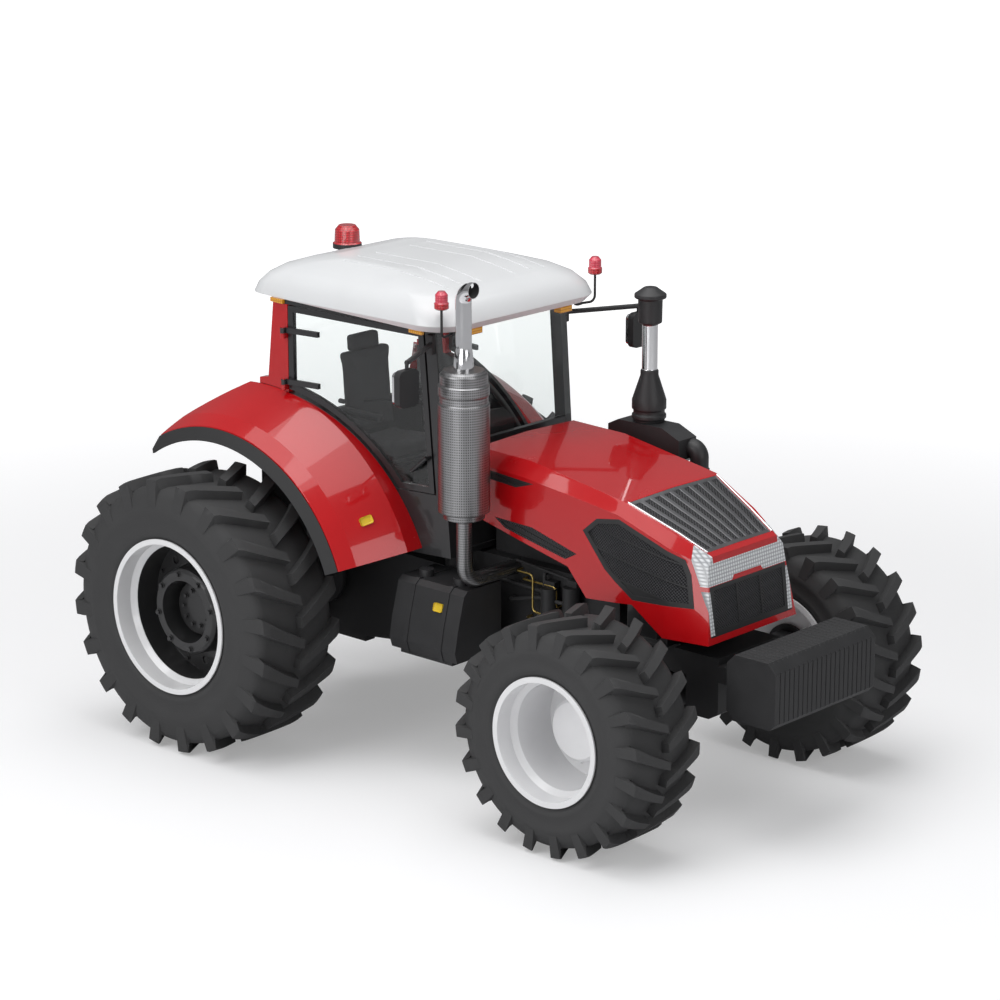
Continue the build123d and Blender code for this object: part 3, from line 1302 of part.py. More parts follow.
def lift_rods():
    """Upright rods from the lift arms down to the lower links' pins."""
    top_z = lift_pivot_z - lift_drop
    low_z = link_pivot_z - lift_drop
    inner = link_y + link_width / 2 + run_gap
    with BuildPart() as rods:
        bar((lift_end_x, -inner - 10, top_z - 20), (lift_end_x, -inner - 10, low_z + 20), 9)
        bar((lift_end_x, -inner - 20, top_z), (lift_end_x, -inner, top_z), 32)
        bar((lift_end_x, -inner - 20, low_z), (lift_end_x, -inner, low_z), 36)
        bar((lift_end_x, -inner - 20, top_z), (lift_end_x, -inner, top_z), lift_pin_radius + spin_gap, Mode.SUBTRACT)
        bar((lift_end_x, -inner - 20, low_z), (lift_end_x, -inner, low_z), lift_pin_radius + 6, Mode.SUBTRACT)
    return both_sides(rods.part)


# ------------------------------------------------------------------ pieces
rear_tyre = tyre(rear_tyre_radius, rear_tyre_width, rear_tread_width, rear_flange_radius, rear_rim_width)
front_tyre = tyre(front_tyre_radius, front_tyre_width, front_tread_width, front_flange_radius, front_rim_width)
rear_tyre = rear_tyre.moved(Location((0, -rear_wheel_y, rear_axle_z)))
front_tyre = front_tyre.moved(Location((wheelbase, -front_wheel_y, front_axle_z)))

handed = {
    "rear_tyre": rear_tyre,
    "front_tyre": front_tyre,
    "rear_wheel": rear_wheel(),
    "front_wheel": front_wheel(),
    "knuckle": knuckle(),
    "door": door(),
    "door_glass": door_glass(),
}
for name, part in handed.items():
    save(part, f"{name}_right")
    save(mirrored(part), f"{name}_left")

single = (
    front_frame, front_axle, steering_rod, engine, transmission, rear_axle, drawbar, radiator_pack,
    front_weights, muffler, exhaust_stack, air_cleaner, precleaner, service_tank, fuel_tank,
    cab_base, cab_frame, rear_pillars, cab_roof, cab_glass, fenders, fender_lips, seat, dashboard,
    steering_wheel, mirrors, roof_beacon, corner_beacons, marker_lamps, hood, hood_hinge, side_grilles,
    top_louvres, nose_mask, headlamps, lower_links, lift_arms, lift_rods, top_link,
)
for make in single:
    save(make(), make.__name__)
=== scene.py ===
# %% [markdown]
# # Dressing a farm tractor in Blender
# The imported frame holds the tractor's solids: tyres, rims, cab, hood and hitch. This script gives
# every surface its finish and models what a solid leaves out, such as tread curves, mesh, lamps
# and bolts. It starts by loading the frame, and takes many of its places from that frame.

# %% Load the frame
import json
import math

import bpy
import bmesh
from mathutils import Matrix, Vector
from mathutils.bvhtree import BVHTree


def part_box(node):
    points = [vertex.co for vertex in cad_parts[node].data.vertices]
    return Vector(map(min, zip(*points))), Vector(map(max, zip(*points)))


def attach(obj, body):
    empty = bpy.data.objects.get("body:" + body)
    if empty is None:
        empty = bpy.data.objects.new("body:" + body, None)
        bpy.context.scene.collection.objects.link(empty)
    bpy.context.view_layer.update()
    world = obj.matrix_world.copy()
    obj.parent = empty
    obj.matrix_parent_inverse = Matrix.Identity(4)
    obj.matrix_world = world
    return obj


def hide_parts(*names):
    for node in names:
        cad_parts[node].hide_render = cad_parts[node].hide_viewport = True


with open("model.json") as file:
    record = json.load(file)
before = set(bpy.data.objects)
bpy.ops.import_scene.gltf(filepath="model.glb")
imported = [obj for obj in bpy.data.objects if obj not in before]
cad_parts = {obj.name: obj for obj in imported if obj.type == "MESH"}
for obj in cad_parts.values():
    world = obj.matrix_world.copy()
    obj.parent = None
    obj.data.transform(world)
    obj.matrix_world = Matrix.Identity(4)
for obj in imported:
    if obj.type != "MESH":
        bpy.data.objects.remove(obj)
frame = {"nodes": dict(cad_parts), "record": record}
nodes = frame["nodes"]
BODY_OF = {node: body for body, held in frame["record"]["behaviour"]["bodies"].items() for node in held}
SLOT_OF = {part["node"]: part["material_slot"] for part in frame["record"]["subparts"]}
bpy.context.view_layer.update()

# %% [markdown]
# ## The camera
# A long lens from far away keeps the wheels nearly round. The camera is turned by an azimuth
# about the vertical and an elevation above the ground, and stands back from the tractor.

# %% Camera
CAMERA_PLACE = (13.526, -14.947, 7.224)
CAMERA_AZIMUTH = math.radians(42.015)
CAMERA_ELEVATION = math.radians(15.631)
SENSOR_WIDTH = 36  # millimetres, as is the focal length
FOCAL_LENGTH = 117.72
FARTHEST_SEEN = 200

bpy.ops.object.select_all(action="DESELECT")
bpy.ops.object.camera_add(location=CAMERA_PLACE,
                          rotation=(math.pi / 2 - CAMERA_ELEVATION, 0, CAMERA_AZIMUTH))
camera = bpy.context.object
camera.data.sensor_width = SENSOR_WIDTH
camera.data.lens = FOCAL_LENGTH
camera.data.clip_end = FARTHEST_SEEN
bpy.context.scene.camera = camera
print("camera:", CAMERA_PLACE, "lens:", FOCAL_LENGTH, "mm")

# %% [markdown]
# ## The studio
# A pale floor and a pale world make a plain studio. The world shows the camera white, and lights
# the tractor with a soft sky that is brighter above than at the horizon, so that gloss has
# something to reflect. Large area lights stand in for softboxes.

# %% Shader maths in Python
class Value:
    """A shader socket that Python's own operators work on, each adding a Math node."""

    def __init__(self, shader, socket):
        self.shader = shader
        self.socket = socket

    def _math(self, operation, *inputs):
        return self.shader.node("ShaderNodeMath", {"operation": operation}, inputs)

    def __add__(self, other):
        return self._math("ADD", self, other)

    def __radd__(self, other):
        return self._math("ADD", other, self)

    def __sub__(self, other):
        return self._math("SUBTRACT", self, other)

    def __rsub__(self, other):
        return self._math("SUBTRACT", other, self)

    def __mul__(self, other):
        return self._math("MULTIPLY", self, other)

    def __rmul__(self, other):
        return self._math("MULTIPLY", other, self)

    def __pow__(self, other):
        return self._math("POWER", self, other)

    def __gt__(self, other):
        return self._math("GREATER_THAN", self, other)

    def sine(self):
        return self._math("SINE", self)

    def absolute(self):
        return self._math("ABSOLUTE", self)

    def turn(self, other):
        """The angle whose tangent is this value over the other one."""
        return self._math("ARCTAN2", self, other)


class Shader:
    """A material's or world's node tree, with one method that adds any node."""

    def __init__(self, owner):
        owner.use_nodes = True
        self.tree = owner.node_tree
        self.tree.nodes.clear()

    def node(self, kind, settings=None, inputs=(), output=0):
        """Add a node: its settings first, then the values or links of its sockets."""
        made = self.tree.nodes.new(kind)
        for name, value in (settings or {}).items():
            if name == "stops":
                ramp = made.color_ramp
                while len(ramp.elements) < len(value):
                    ramp.elements.new(0.5)
                for element, (place, colour) in zip(ramp.elements, value):
                    element.position = place
                    element.color = colour
            else:
                setattr(made, name, value)
        pairs = inputs.items() if isinstance(inputs, dict) else enumerate(inputs)
        for key, value in pairs:
            if isinstance(value, Value):
                self.tree.links.new(value.socket, made.inputs[key])
            else:
                made.inputs[key].default_value = value
        return Value(self, made.outputs[output]) if made.outputs else None

    def place(self):
        """Object coordinates, in metres."""
        return self.node("ShaderNodeTexCoord", output=3)

    def axes(self, vector):
        """The three parts of a vector."""
        split = self.tree.nodes.new("ShaderNodeSeparateXYZ")
        self.tree.links.new(vector.socket, split.inputs[0])
        return [Value(self, socket) for socket in split.outputs]

    def noise(self, scale, detail, roughness=0.5, vector=None):
        """Even cloudy noise at a scale in cycles a metre."""
        return self.node("ShaderNodeTexNoise", {}, {"Vector": vector or self.place(), "Scale": scale,
                                                    "Detail": detail, "Roughness": roughness})

    def span(self, value, low, high):
        """A value between 0 and 1, stretched to run from low to high."""
        return self.node("ShaderNodeMapRange", {}, {0: value, 3: low, 4: high})

    def mix(self, factor, first, second):
        """One colour fading into another."""
        return self.node("ShaderNodeMix", {"data_type": "RGBA"}, {0: factor, 6: first, 7: second},
                         output=2)

    def bump(self, height, strength, distance):
        """A height field as a normal."""
        return self.node("ShaderNodeBump", {}, {"Height": height, "Strength": strength,
                                                "Distance": distance})


# %% World
# Place on the gradient, from straight down to straight up, and the tone there.
SKY_TONES = [(0.0, (0.35, 0.35, 0.36, 1)), (0.5, (0.50, 0.50, 0.51, 1)), (1.0, (0.95, 0.96, 0.98, 1))]
SKY_STRENGTH = 0.33

scene = bpy.context.scene
scene.view_settings.view_transform = "Standard"
world = bpy.data.worlds.new("studio")
scene.world = world
sky = Shader(world)
# A world's normal points back along the view, so its Z says how far down the view goes.
down = sky.axes(sky.node("ShaderNodeNewGeometry", output=1))[2]
gradient = sky.node("ShaderNodeValToRGB", {"stops": SKY_TONES}, [0.5 - 0.5 * down])
seen = sky.node("ShaderNodeLightPath", output=0)
lit = sky.node("ShaderNodeBackground", {}, {"Color": gradient, "Strength": SKY_STRENGTH})
white = sky.node("ShaderNodeBackground", {}, {"Color": (1, 1, 1, 1), "Strength": 1.0})
sky.node("ShaderNodeOutputWorld", {}, [sky.node("ShaderNodeMixShader", {}, [seen, lit, white])])
print("world:", world.name)

# %% Floor
FLOOR_SIZE = 160
FLOOR_TONE = (0.72, 0.72, 0.73, 1)
GLOW_FROM, GLOW_TO = 3.5, 14.0  # the distances from the middle between which the glow grows
LEAST_GLOW, MOST_GLOW = 0.29, 0.80

bpy.ops.object.select_all(action="DESELECT")
bpy.ops.mesh.primitive_plane_add(size=FLOOR_SIZE, location=(0, 0, 0))
floor = bpy.context.object
floor.name = "studio_floor"
floor_paint = bpy.data.materials.new("studio_floor")
ground = Shader(floor_paint)
matte = ground.node("ShaderNodeBsdfDiffuse", {}, {"Color": FLOOR_TONE})
camera_ray = ground.node("ShaderNodeLightPath", output=0)
ground_x, ground_y, _ = ground.axes(ground.place())
away = (ground_x**2.0 + ground_y**2.0) ** 0.5
far_floor = ground.node("ShaderNodeMapRange", {"interpolation_type": "SMOOTHSTEP"},
                        {0: away, 1: GLOW_FROM, 2: GLOW_TO, 3: LEAST_GLOW, 4: MOST_GLOW})
glow = ground.node("ShaderNodeEmission", {}, {"Color": (1, 1, 1, 1), "Strength": camera_ray * far_floor})
ground.node("ShaderNodeOutputMaterial", {}, [ground.node("ShaderNodeAddShader", {}, [matte, glow])])
floor.data.materials.append(floor_paint)
print("floor:", FLOOR_SIZE, "m square")


# %% Lamps
SUN_STRENGTH = 0.75
SUN_SPREAD = math.radians(45)


def softbox(name, place, target, width, depth, power):
    """A large area light aimed at a point."""
    bpy.ops.object.light_add(type="AREA", location=place)
    lamp = bpy.context.object
    lamp.name = name
    lamp.data.shape = "RECTANGLE"
    lamp.data.size = width
    lamp.data.size_y = depth
    lamp.data.energy = power
    lamp.rotation_euler = (Vector(target) - Vector(place)).to_track_quat("-Z", "Y").to_euler()


softbox("overhead_box", (0.5, 0.5, 9.0), (0, 0, 0), 9, 7, 330)
softbox("key_box", (-2.0, -10.0, 7.0), (0, 0, 1.2), 7, 5, 340)
softbox("front_box", (11.0, -2.0, 5.0), (1.0, 0, 1.2), 6, 5, 190)
softbox("side_box", (3.0, -12.0, 2.2), (0, 0, 0.9), 7, 2.5, 170)
bpy.ops.object.light_add(type="SUN", location=(0, 0, 12))
sun = bpy.context.object
sun.name = "even_sun"
sun.data.energy = SUN_STRENGTH
sun.data.angle = SUN_SPREAD
sun.rotation_euler = Vector((0.15, 0.35, -1.0)).to_track_quat("-Z", "Y").to_euler()

# %% [markdown]
# ## Finishes
# Each finish is one function that fills a material: its colour with the small changes that a real
# surface has, how rough it is, and its grain as bump. All patterns are measured in metres on
# Object coordinates, so a grain has the same scale on every piece.

# %% A painted or moulded surface
COAT_ROUGHNESS = 0.04


def start(name):
    """A new material's shader; the frame's own plain material of that name steps aside."""
    if name in bpy.data.materials:
        bpy.data.materials[name].name = name + "_plain"
    return Shader(bpy.data.materials.new(name))


def finish(shader, colour, roughness, metallic, coat, normal, **more):
    """Close a material with one Principled shader; inputs may be numbers or Values."""
    inputs = {"Base Color": colour, "Roughness": roughness, "Metallic": metallic, "Coat Weight": coat,
              "Coat Roughness": COAT_ROUGHNESS, "Normal": normal, **more}
    shader.node("ShaderNodeOutputMaterial", {}, [shader.node("ShaderNodeBsdfPrincipled", {}, inputs)])


def coloured(name, dark, light, patch, roughness, grain, grain_depth, metallic, coat, **more):
    """A surface whose colour drifts between two tones and whose grain is fine noise."""
    made = start(name)
    patches = made.noise(patch, 5.0, 0.6)
    rough = made.span(patches, *roughness)
    normal = made.bump(made.noise(grain, 2.0), 1.0, grain_depth)
    finish(made, made.mix(patches, (*dark, 1), (*light, 1)), rough, metallic, coat, normal, **more)


# %% Plain finishes
RED_SHEEN = {"Specular IOR Level": 0.2}  # its gloss comes from the clear coat

# Name, dark and light tone, patch scale, least and most roughness, grain scale and depth,
# metallic and coat.
for name, *about in (
    ("red_paint", (0.47, 0.0035, 0.006), (0.56, 0.0055, 0.009), 3, (0.22, 0.30), 260, 0.00003, 0.0, 1.0),
    ("white_roof", (0.70, 0.71, 0.72), (0.77, 0.78, 0.79), 2, (0.34, 0.46), 420, 0.00008, 0.0, 0.35),
    ("rim_white", (0.80, 0.80, 0.81), (0.87, 0.87, 0.88), 5, (0.26, 0.38), 300, 0.00005, 0.0, 0.6),
    ("rim_grey", (0.022, 0.022, 0.023), (0.036, 0.036, 0.037), 5, (0.36, 0.5), 300, 0.00008, 0.2, 0.3),
    ("black_paint", (0.014, 0.014, 0.015), (0.022, 0.022, 0.024), 4, (0.24, 0.36), 300, 0.00004, 0.0, 0.5),
    ("cast_black", (0.017, 0.017, 0.018), (0.034, 0.034, 0.036), 6, (0.48, 0.7), 170, 0.0006, 0.1, 0.0),
    ("black_rubber", (0.020, 0.020, 0.021), (0.034, 0.034, 0.035), 5, (0.55, 0.75), 420, 0.0003, 0.0, 0.0),
    ("black_plastic", (0.018, 0.018, 0.019), (0.028, 0.028, 0.030), 5, (0.38, 0.52), 700, 0.0003, 0.0, 0.0),
    ("chrome", (0.78, 0.78, 0.80), (0.88, 0.88, 0.89), 7, (0.05, 0.12), 90, 0.00004, 1.0, 0.0),
    ("louvre_silver", (0.20, 0.20, 0.21), (0.32, 0.32, 0.33), 6, (0.24, 0.36), 500, 0.00005, 1.0, 0.0),
    ("tyre_rubber", (0.032, 0.032, 0.033), (0.050, 0.050, 0.051), 4, (0.62, 0.86), 260, 0.0007, 0.0, 0.0),
    ("plate_yellow", (0.72, 0.50, 0.02), (0.80, 0.57, 0.03), 9, (0.35, 0.45), 500, 0.00005, 0.0, 0.2),
    ("brass_pipe", (0.60, 0.42, 0.12), (0.70, 0.52, 0.18), 9, (0.25, 0.4), 300, 0.00008, 1.0, 0.0),
):
    coloured(name, *about, **(RED_SHEEN if name == "red_paint" else {}))
print("finishes:", len(bpy.data.materials))

# %% [markdown]
# ## Patterned finishes
# Wire mesh, the muffler's punched sheet and the lamps' reflectors repeat hundreds of times, so
# their pattern is worked out in the material from sines of the Object coordinates. The shade in
# the holes and slots, and the reflectors' glints, are painted into that pattern's colour.

# %% Wire mesh
# Painted shade: the colour of the mesh's holes, dark like the shaded space behind them.
PAINTED_HOLE_SHADE = (0.004, 0.004, 0.005, 1)
HOLE_EDGE = 0.42  # of the weave's value, above which there is a hole


def wire_mesh(name, across, cell, wire):
    """Diagonal woven wire, from two of the three axes, with holes between raised wires painted dark as
    shade.
    """
    made = start(name)
    axes = made.axes(made.place())
    a, b = axes[across[0]], axes[across[1]]
    turns = math.pi / cell
    weave = ((a + b) * turns).sine().absolute() * ((a - b) * turns).sine().absolute()
    open_hole = weave > HOLE_EDGE
    # The holes are painted dark as shade.
    colour = made.mix(open_hole, (*wire, 1), PAINTED_HOLE_SHADE)
    relief = made.bump(1 - weave, 1.0, cell * 0.25)
    finish(made, colour, made.span(open_hole, 0.35, 0.8), 0.0, 0.0, relief)


wire_mesh("side_mesh", (0, 2), 0.020, (0.045, 0.045, 0.05))
wire_mesh("front_mesh", (1, 2), 0.020, (0.045, 0.045, 0.05))
wire_mesh("louvre_mesh", (0, 1), 0.022, (0.06, 0.06, 0.065))
print("finishes:", len(bpy.data.materials))

# %% Punched steel
SLOT_COLUMNS = 72  # round the stack
SLOT_PITCH = 0.016  # from one row of slots to the next
SLOT_EDGE = 0.62  # of the pattern's value, above which there is a slot
STACK_RADIUS = 0.062


def punched_steel(name, centre):
    """Brushed sheet round an upright axis, with rows of small punched slots painted dark as shade."""
    made = start(name)
    x, y, z = made.axes(made.place())
    angle = (y - centre[1]).turn(x - centre[0])
    columns = (angle * (SLOT_COLUMNS / 2)).sine().absolute()
    rows = (z * (math.pi / SLOT_PITCH)).sine().absolute()
    slots = (columns * rows) > SLOT_EDGE
    brushed = made.node("ShaderNodeCombineXYZ", {}, [angle * 3.0, angle * 3.0, z * 0.2])
    streaks = made.noise(9.0, 3.0, 0.6, brushed)
    sheet = made.mix(streaks, (0.20, 0.20, 0.205, 1), (0.48, 0.48, 0.49, 1))
    # The slots are painted dark, as the shade behind them.
    colour = made.mix(slots, sheet, (0.09, 0.09, 0.09, 1))
    relief = made.bump(1 - slots, 0.5, 0.0004)
    finish(made, colour, made.span(streaks, 0.22, 0.40), 1.0 - slots * 0.6, 0.0, relief)


stack_low, stack_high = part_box("exhaust_stack")
STACK_AXIS = (stack_low[0] + STACK_RADIUS, (stack_low[1] + stack_high[1]) / 2)
punched_steel("steel_brushed", STACK_AXIS)
print("the stack's axis:", [round(place, 3) for place in STACK_AXIS])


# %% Lamp lenses
def lens(name, clear, shade, across, pitch, glow):
    """Moulded lens over a reflector: a grid of small domes, painted bright at their middles as the
    reflector's glints and dark between them as shade.
    """
    made = start(name)
    axes = made.axes(made.place())
    a, b = axes[across[0]], axes[across[1]]
    turns = math.pi / pitch
    domes = (a * turns).sine().absolute() * (b * turns).sine().absolute()
    # Painted light: the shade tone between the domes is painted shade, and the clear tone at their middles
    # is a painted glint.
    colour = made.mix(domes, (*shade, 1), (*clear, 1))
    finish(made, colour, 0.12, 0.0, 1.0, made.bump(domes, 0.6, pitch * 0.12),
           **{"Emission Color": (*clear, 1), "Emission Strength": glow})


lens("lamp_clear", (0.82, 0.84, 0.86), (0.30, 0.31, 0.33), (1, 2), 0.022, 0.05)
lens("lamp_red", (0.70, 0.02, 0.03), (0.32, 0.005, 0.01), (0, 2), 0.016, 0.04)
lens("lamp_amber", (0.88, 0.42, 0.02), (0.50, 0.20, 0.01), (0, 2), 0.016, 0.05)
lens("lamp_pink", (0.80, 0.10, 0.15), (0.55, 0.03, 0.06), (0, 2), 0.016, 0.05)
print("finishes:", len(bpy.data.materials))

# %% Glass
# Its reflection grows from the first share, seen straight on, by the second one at a grazing angle.
GLASS_STRAIGHT, GLASS_GRAZING = 0.03, 0.6

pane = start("glass_clear")
through = pane.node("ShaderNodeBsdfTransparent", {}, {"Color": (0.965, 0.975, 0.972, 1)})
shine = pane.node("ShaderNodeBsdfGlossy", {}, {"Color": (1, 1, 1, 1), "Roughness": 0.03})
facing = pane.node("ShaderNodeLayerWeight", {}, {"Blend": 0.5}, output=1)
share = facing**4.0 * GLASS_GRAZING + GLASS_STRAIGHT
pane.node("ShaderNodeOutputMaterial", {},
          [pane.node("ShaderNodeMixShader", {}, [share, through, shine])])
print("finishes:", len(bpy.data.materials))


# %% Cloth
def cloth(name, thread):
    """Two-tone woven cloth, its threads a fixed width on every side."""
    made = start(name)
    x, y, z = made.axes(made.place())
    turns = math.pi / thread
    weave = ((x + z) * turns).sine() * ((y + z * 0.5) * turns).sine()
    colour = made.mix(weave * 0.5 + 0.5, (0.045, 0.045, 0.048, 1), (0.095, 0.095, 0.100, 1))
    finish(made, colour, 0.9, 0.0, 0.0, made.bump(weave, 0.5, thread * 0.12))


cloth("seat_fabric", 0.004)
print("finishes:", len(bpy.data.materials))

# %% Paint the solids
for node, slot in SLOT_OF.items():
    solid = nodes[node].data
    solid.materials.clear()
    solid.materials.append(bpy.data.materials[slot])
print("painted solids:", len(SLOT_OF))

# %% [markdown]
# ## From solid to skin
# A CAD solid has knife edges, and a real casting or sheet never has. Each rigid node is copied,
# its loose triangles are merged into faces, its sharp edges get a narrow bevel that catches the
# light, and the copy takes the node's place. The bevel is wide on a casting and narrow on sheet.

# %% Pick an object, and keep a piece
def pick(piece):
    """Make one object the only selected and active one."""
    bpy.ops.object.select_all(action="DESELECT")
    piece.select_set(True)
    bpy.context.view_layer.objects.active = piece


def keep(piece, body, slot, *stands_for, paint=None):
    """Give a finished piece its body and its finish, the slot's own unless another paint is named, and let
    it stand for CAD nodes.
    """
    piece.data.materials.clear()
    piece.data.materials.append(bpy.data.materials[paint or slot])
    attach(piece, body)
    if stands_for:
        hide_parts(*stands_for)


# %% Copy, merge and bevel
WELD_DISTANCE = 0.00002
FLAT_ANGLE = math.radians(1.0)
SHARP_ANGLE = math.radians(28)


def merged_copy(node, name):
    """A copy of a CAD node as one clean mesh, its flat faces whole."""
    piece = bpy.data.objects.new(name, nodes[node].data.copy())
    scene.collection.objects.link(piece)
    pick(piece)
    bpy.ops.object.mode_set(mode="EDIT")
    bpy.ops.mesh.select_all(action="SELECT")
    bpy.ops.mesh.remove_doubles(threshold=WELD_DISTANCE)
    bpy.ops.mesh.dissolve_limited(angle_limit=FLAT_ANGLE)
    bpy.ops.object.mode_set(mode="OBJECT")
    return piece


def bevelled(piece, width, segments=2, smooth=35.0):
    """Round a piece's sharp edges and shade it smooth between them."""
    pick(piece)
    if width:
        edge = piece.modifiers.new("edge", "BEVEL")
        edge.width = width
        edge.segments = segments
        edge.limit_method = "ANGLE"
        edge.angle_limit = SHARP_ANGLE
        bpy.ops.object.modifier_apply(modifier="edge")
    bpy.ops.object.shade_smooth_by_angle(angle=math.radians(smooth))
    even = piece.modifiers.new("even", "WEIGHTED_NORMAL")
    even.keep_sharp = True
    bpy.ops.object.modifier_apply(modifier="even")
    return piece


def skin(node, width, smooth=35.0):
    """The bevelled copy that stands for a CAD node."""
    piece = bevelled(merged_copy(node, node + "_skin"), width, smooth=smooth)
    keep(piece, BODY_OF[node], SLOT_OF[node], node)
    return piece


# %% Shading of a turned sheet
CONE_FACING = 0.35  # a face that looks less than this along the radius keeps its own normal


def turned_shading(piece, axis_x, axis_z):
    """Shade a sheet turned about a Y axis by its true cone normals, with its creases kept sharp."""
    normals = []
    for face in piece.data.polygons:
        out = Vector((face.center.x - axis_x, 0, face.center.z - axis_z)).normalized()
        side = face.normal.dot(out)
        for corner in face.vertices:
            place = piece.data.vertices[corner].co
            radial = Vector((place.x - axis_x, 0, place.z - axis_z)).normalized()
            turned_normal = radial * math.copysign(math.sqrt(max(0.0, 1 - face.normal.y**2)), side)
            turned_normal.y = face.normal.y
            normals.append(turned_normal if abs(side) > CONE_FACING else face.normal.copy())
    piece.data.normals_split_custom_set(normals)


# %% Skins of the rigid solids
EDGE_WIDTHS = {
    0.008: ("front_frame", "front_axle", "transmission", "rear_axle", "engine", "fuel_tank",
            "service_tank", "dashboard"),
    0.005: ("knuckle_right", "knuckle_left", "drawbar", "lower_links", "lift_arms", "lift_rods",
            "top_link", "precleaner", "mirrors", "cab_base", "radiator_pack"),
    0.003: ("cab_frame", "rear_pillars", "door_right", "door_left", "fenders", "fender_lips",
            "front_weights", "hood_hinge", "steering_rod", "rear_wheel_right", "rear_wheel_left",
            "front_wheel_right", "front_wheel_left", "muffler", "exhaust_stack", "roof_beacon",
            "corner_beacons", "marker_lamps"),
}
skins = {node: skin(node, width) for width, group in EDGE_WIDTHS.items() for node in group}
skins["cab_roof"] = skin("cab_roof", 0.004, smooth=62.0)
skins["air_cleaner"] = skin("air_cleaner", 0.0)
wheel_low, wheel_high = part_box("rear_wheel_right")
for node in ("fenders", "fender_lips"):
    turned_shading(skins[node], (wheel_low[0] + wheel_high[0]) / 2, (wheel_low[2] + wheel_high[2]) / 2)
print("skins:", len(skins), "faces:", sum(len(piece.data.polygons) for piece in skins.values()))

# %% [markdown]
# ## Hood panels
# The hood is thin painted sheet with grilles, louvres and lamps set in it. In each panel the CAD
# solid has recessed windows. Their floors are found as flat islands of faces that look outward and
# have a window's area. They are cut off as pieces of their own and given wire mesh, while the
# frame round them stays moulded.

# %% Find the windows' floors
SAME_WAY = 0.9  # the least cosine between the normals of a floor's faces
MOST_FLOOR_FACES = 15


def window_floors(piece, outward, least, most):
    """Face numbers of the recessed floors: outward islands of a window's area, in few faces."""
    mesh = bmesh.new()
    mesh.from_mesh(piece.data)
    waiting = set(mesh.faces)
    floors = set()
    for seed in mesh.faces:
        if seed not in waiting:
            continue
        waiting.discard(seed)
        front = [seed]
        island = {seed}
        while front:
            for other in (link for edge in front.pop().edges for link in edge.link_faces):
                if other in waiting and other.normal.dot(seed.normal) > SAME_WAY:
                    waiting.discard(other)
                    front.append(other)
                    island.add(other)
        area = sum(face.calc_area() for face in island)
        looks_out = outward(seed.calc_center_median(), seed.normal) > 0
        if least < area < most and len(island) < MOST_FLOOR_FACES and looks_out:
            floors.update(face.index for face in island)
    mesh.free()
    return floors


# %% Cut faces off, and make a panel
PANEL_EDGE = 0.002


def cut_off(piece, picked, name):
    """Separate the faces that are picked, a flag for each face, as an object of their own."""
    pick(piece)
    for kind in (piece.data.vertices, piece.data.edges):
        kind.foreach_set("select", [False] * len(kind))
    piece.data.polygons.foreach_set("select", picked)
    bpy.ops.object.mode_set(mode="EDIT")
    bpy.ops.mesh.select_mode(type="FACE")
    bpy.ops.mesh.separate(type="SELECTED")
    bpy.ops.object.mode_set(mode="OBJECT")
    made = next(thing for thing in bpy.context.selected_objects if thing is not piece)
    made.name = name
    return made


def panel(node, mesh_paint, outward, least, most):
    """A hood panel: a bevelled frame in the node's finish, and mesh in its windows."""
    piece = merged_copy(node, node + "_frame")
    floors = window_floors(piece, outward, least, most)
    picked = [index in floors for index in range(len(piece.data.polygons))]
    mesh = cut_off(piece, picked, node + "_mesh")
    keep(mesh, BODY_OF[node], SLOT_OF[node], paint=mesh_paint)
    bevelled(piece, PANEL_EDGE)
    keep(piece, BODY_OF[node], SLOT_OF[node], node)
    print(node, "windows' floor faces:", len(floors))


# %% The hood and its panels
skin("hood", 0.004)
skin("headlamps", 0.002)
# Each panel's way outward, and the least and most area of a window's floor in it.
panel("side_grilles", "side_mesh", lambda place, normal: place.y * normal.y, 0.015, 0.1)
panel("nose_mask", "front_mesh", lambda place, normal: normal.x, 0.02, 0.06)
panel("top_louvres", "louvre_mesh", lambda place, normal: normal.z, 0.01, 0.1)

# %% [markdown]
# ## Parts of a piece in another finish
# A rear wheel's flange and step are painted white as highlights on its dark rim, a beacon's dome is
# clear where its foot is black, and a stack's mouth is painted black inside. The faces concerned are
# picked by where they are, and cut off as a piece of their own that rides on the same body.

# %% Cut off by place
def part_off(node, name, chosen, slot, paint=None):
    """Make a piece of its own from the faces of a skin whose corners all pass a test."""
    piece = skins[node]
    places = [vertex.co for vertex in piece.data.vertices]
    picked = [all(chosen(places[corner]) for corner in face.vertices) for face in piece.data.polygons]
    keep(cut_off(piece, picked, name), BODY_OF[node], slot, paint=paint)
    print(name, "faces:", sum(picked))


# %% The rear wheels' flanges and steps, painted white as highlights
FLANGE_DEPTH = 0.047  # from the rim's edge inward
STEP_RADIUS = 0.39  # the step painted white as a highlight lies outside it
STEP_NEAR, STEP_FAR = 0.09, 0.17  # and this far in from the wheel's outer side

for side in ("right", "left"):
    node = "rear_wheel_" + side
    low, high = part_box(node)
    hub_x, hub_z = (low[0] + high[0]) / 2, (low[2] + high[2]) / 2
    flange = (high[2] - low[2]) / 2
    outer = max(abs(low[1]), abs(high[1]))
    # Painted highlights: the flange and the step are cut off in white, and the rest of the rim stays dark
    # grey.
    part_off(node, node + "_flange",
             lambda place: math.hypot(place.x - hub_x, place.z - hub_z) > flange - FLANGE_DEPTH,
             "rim_white")
    part_off(node, node + "_step",
             lambda place: (math.hypot(place.x - hub_x, place.z - hub_z) > STEP_RADIUS
                            and STEP_NEAR < outer - abs(place.y) < STEP_FAR), "rim_white")

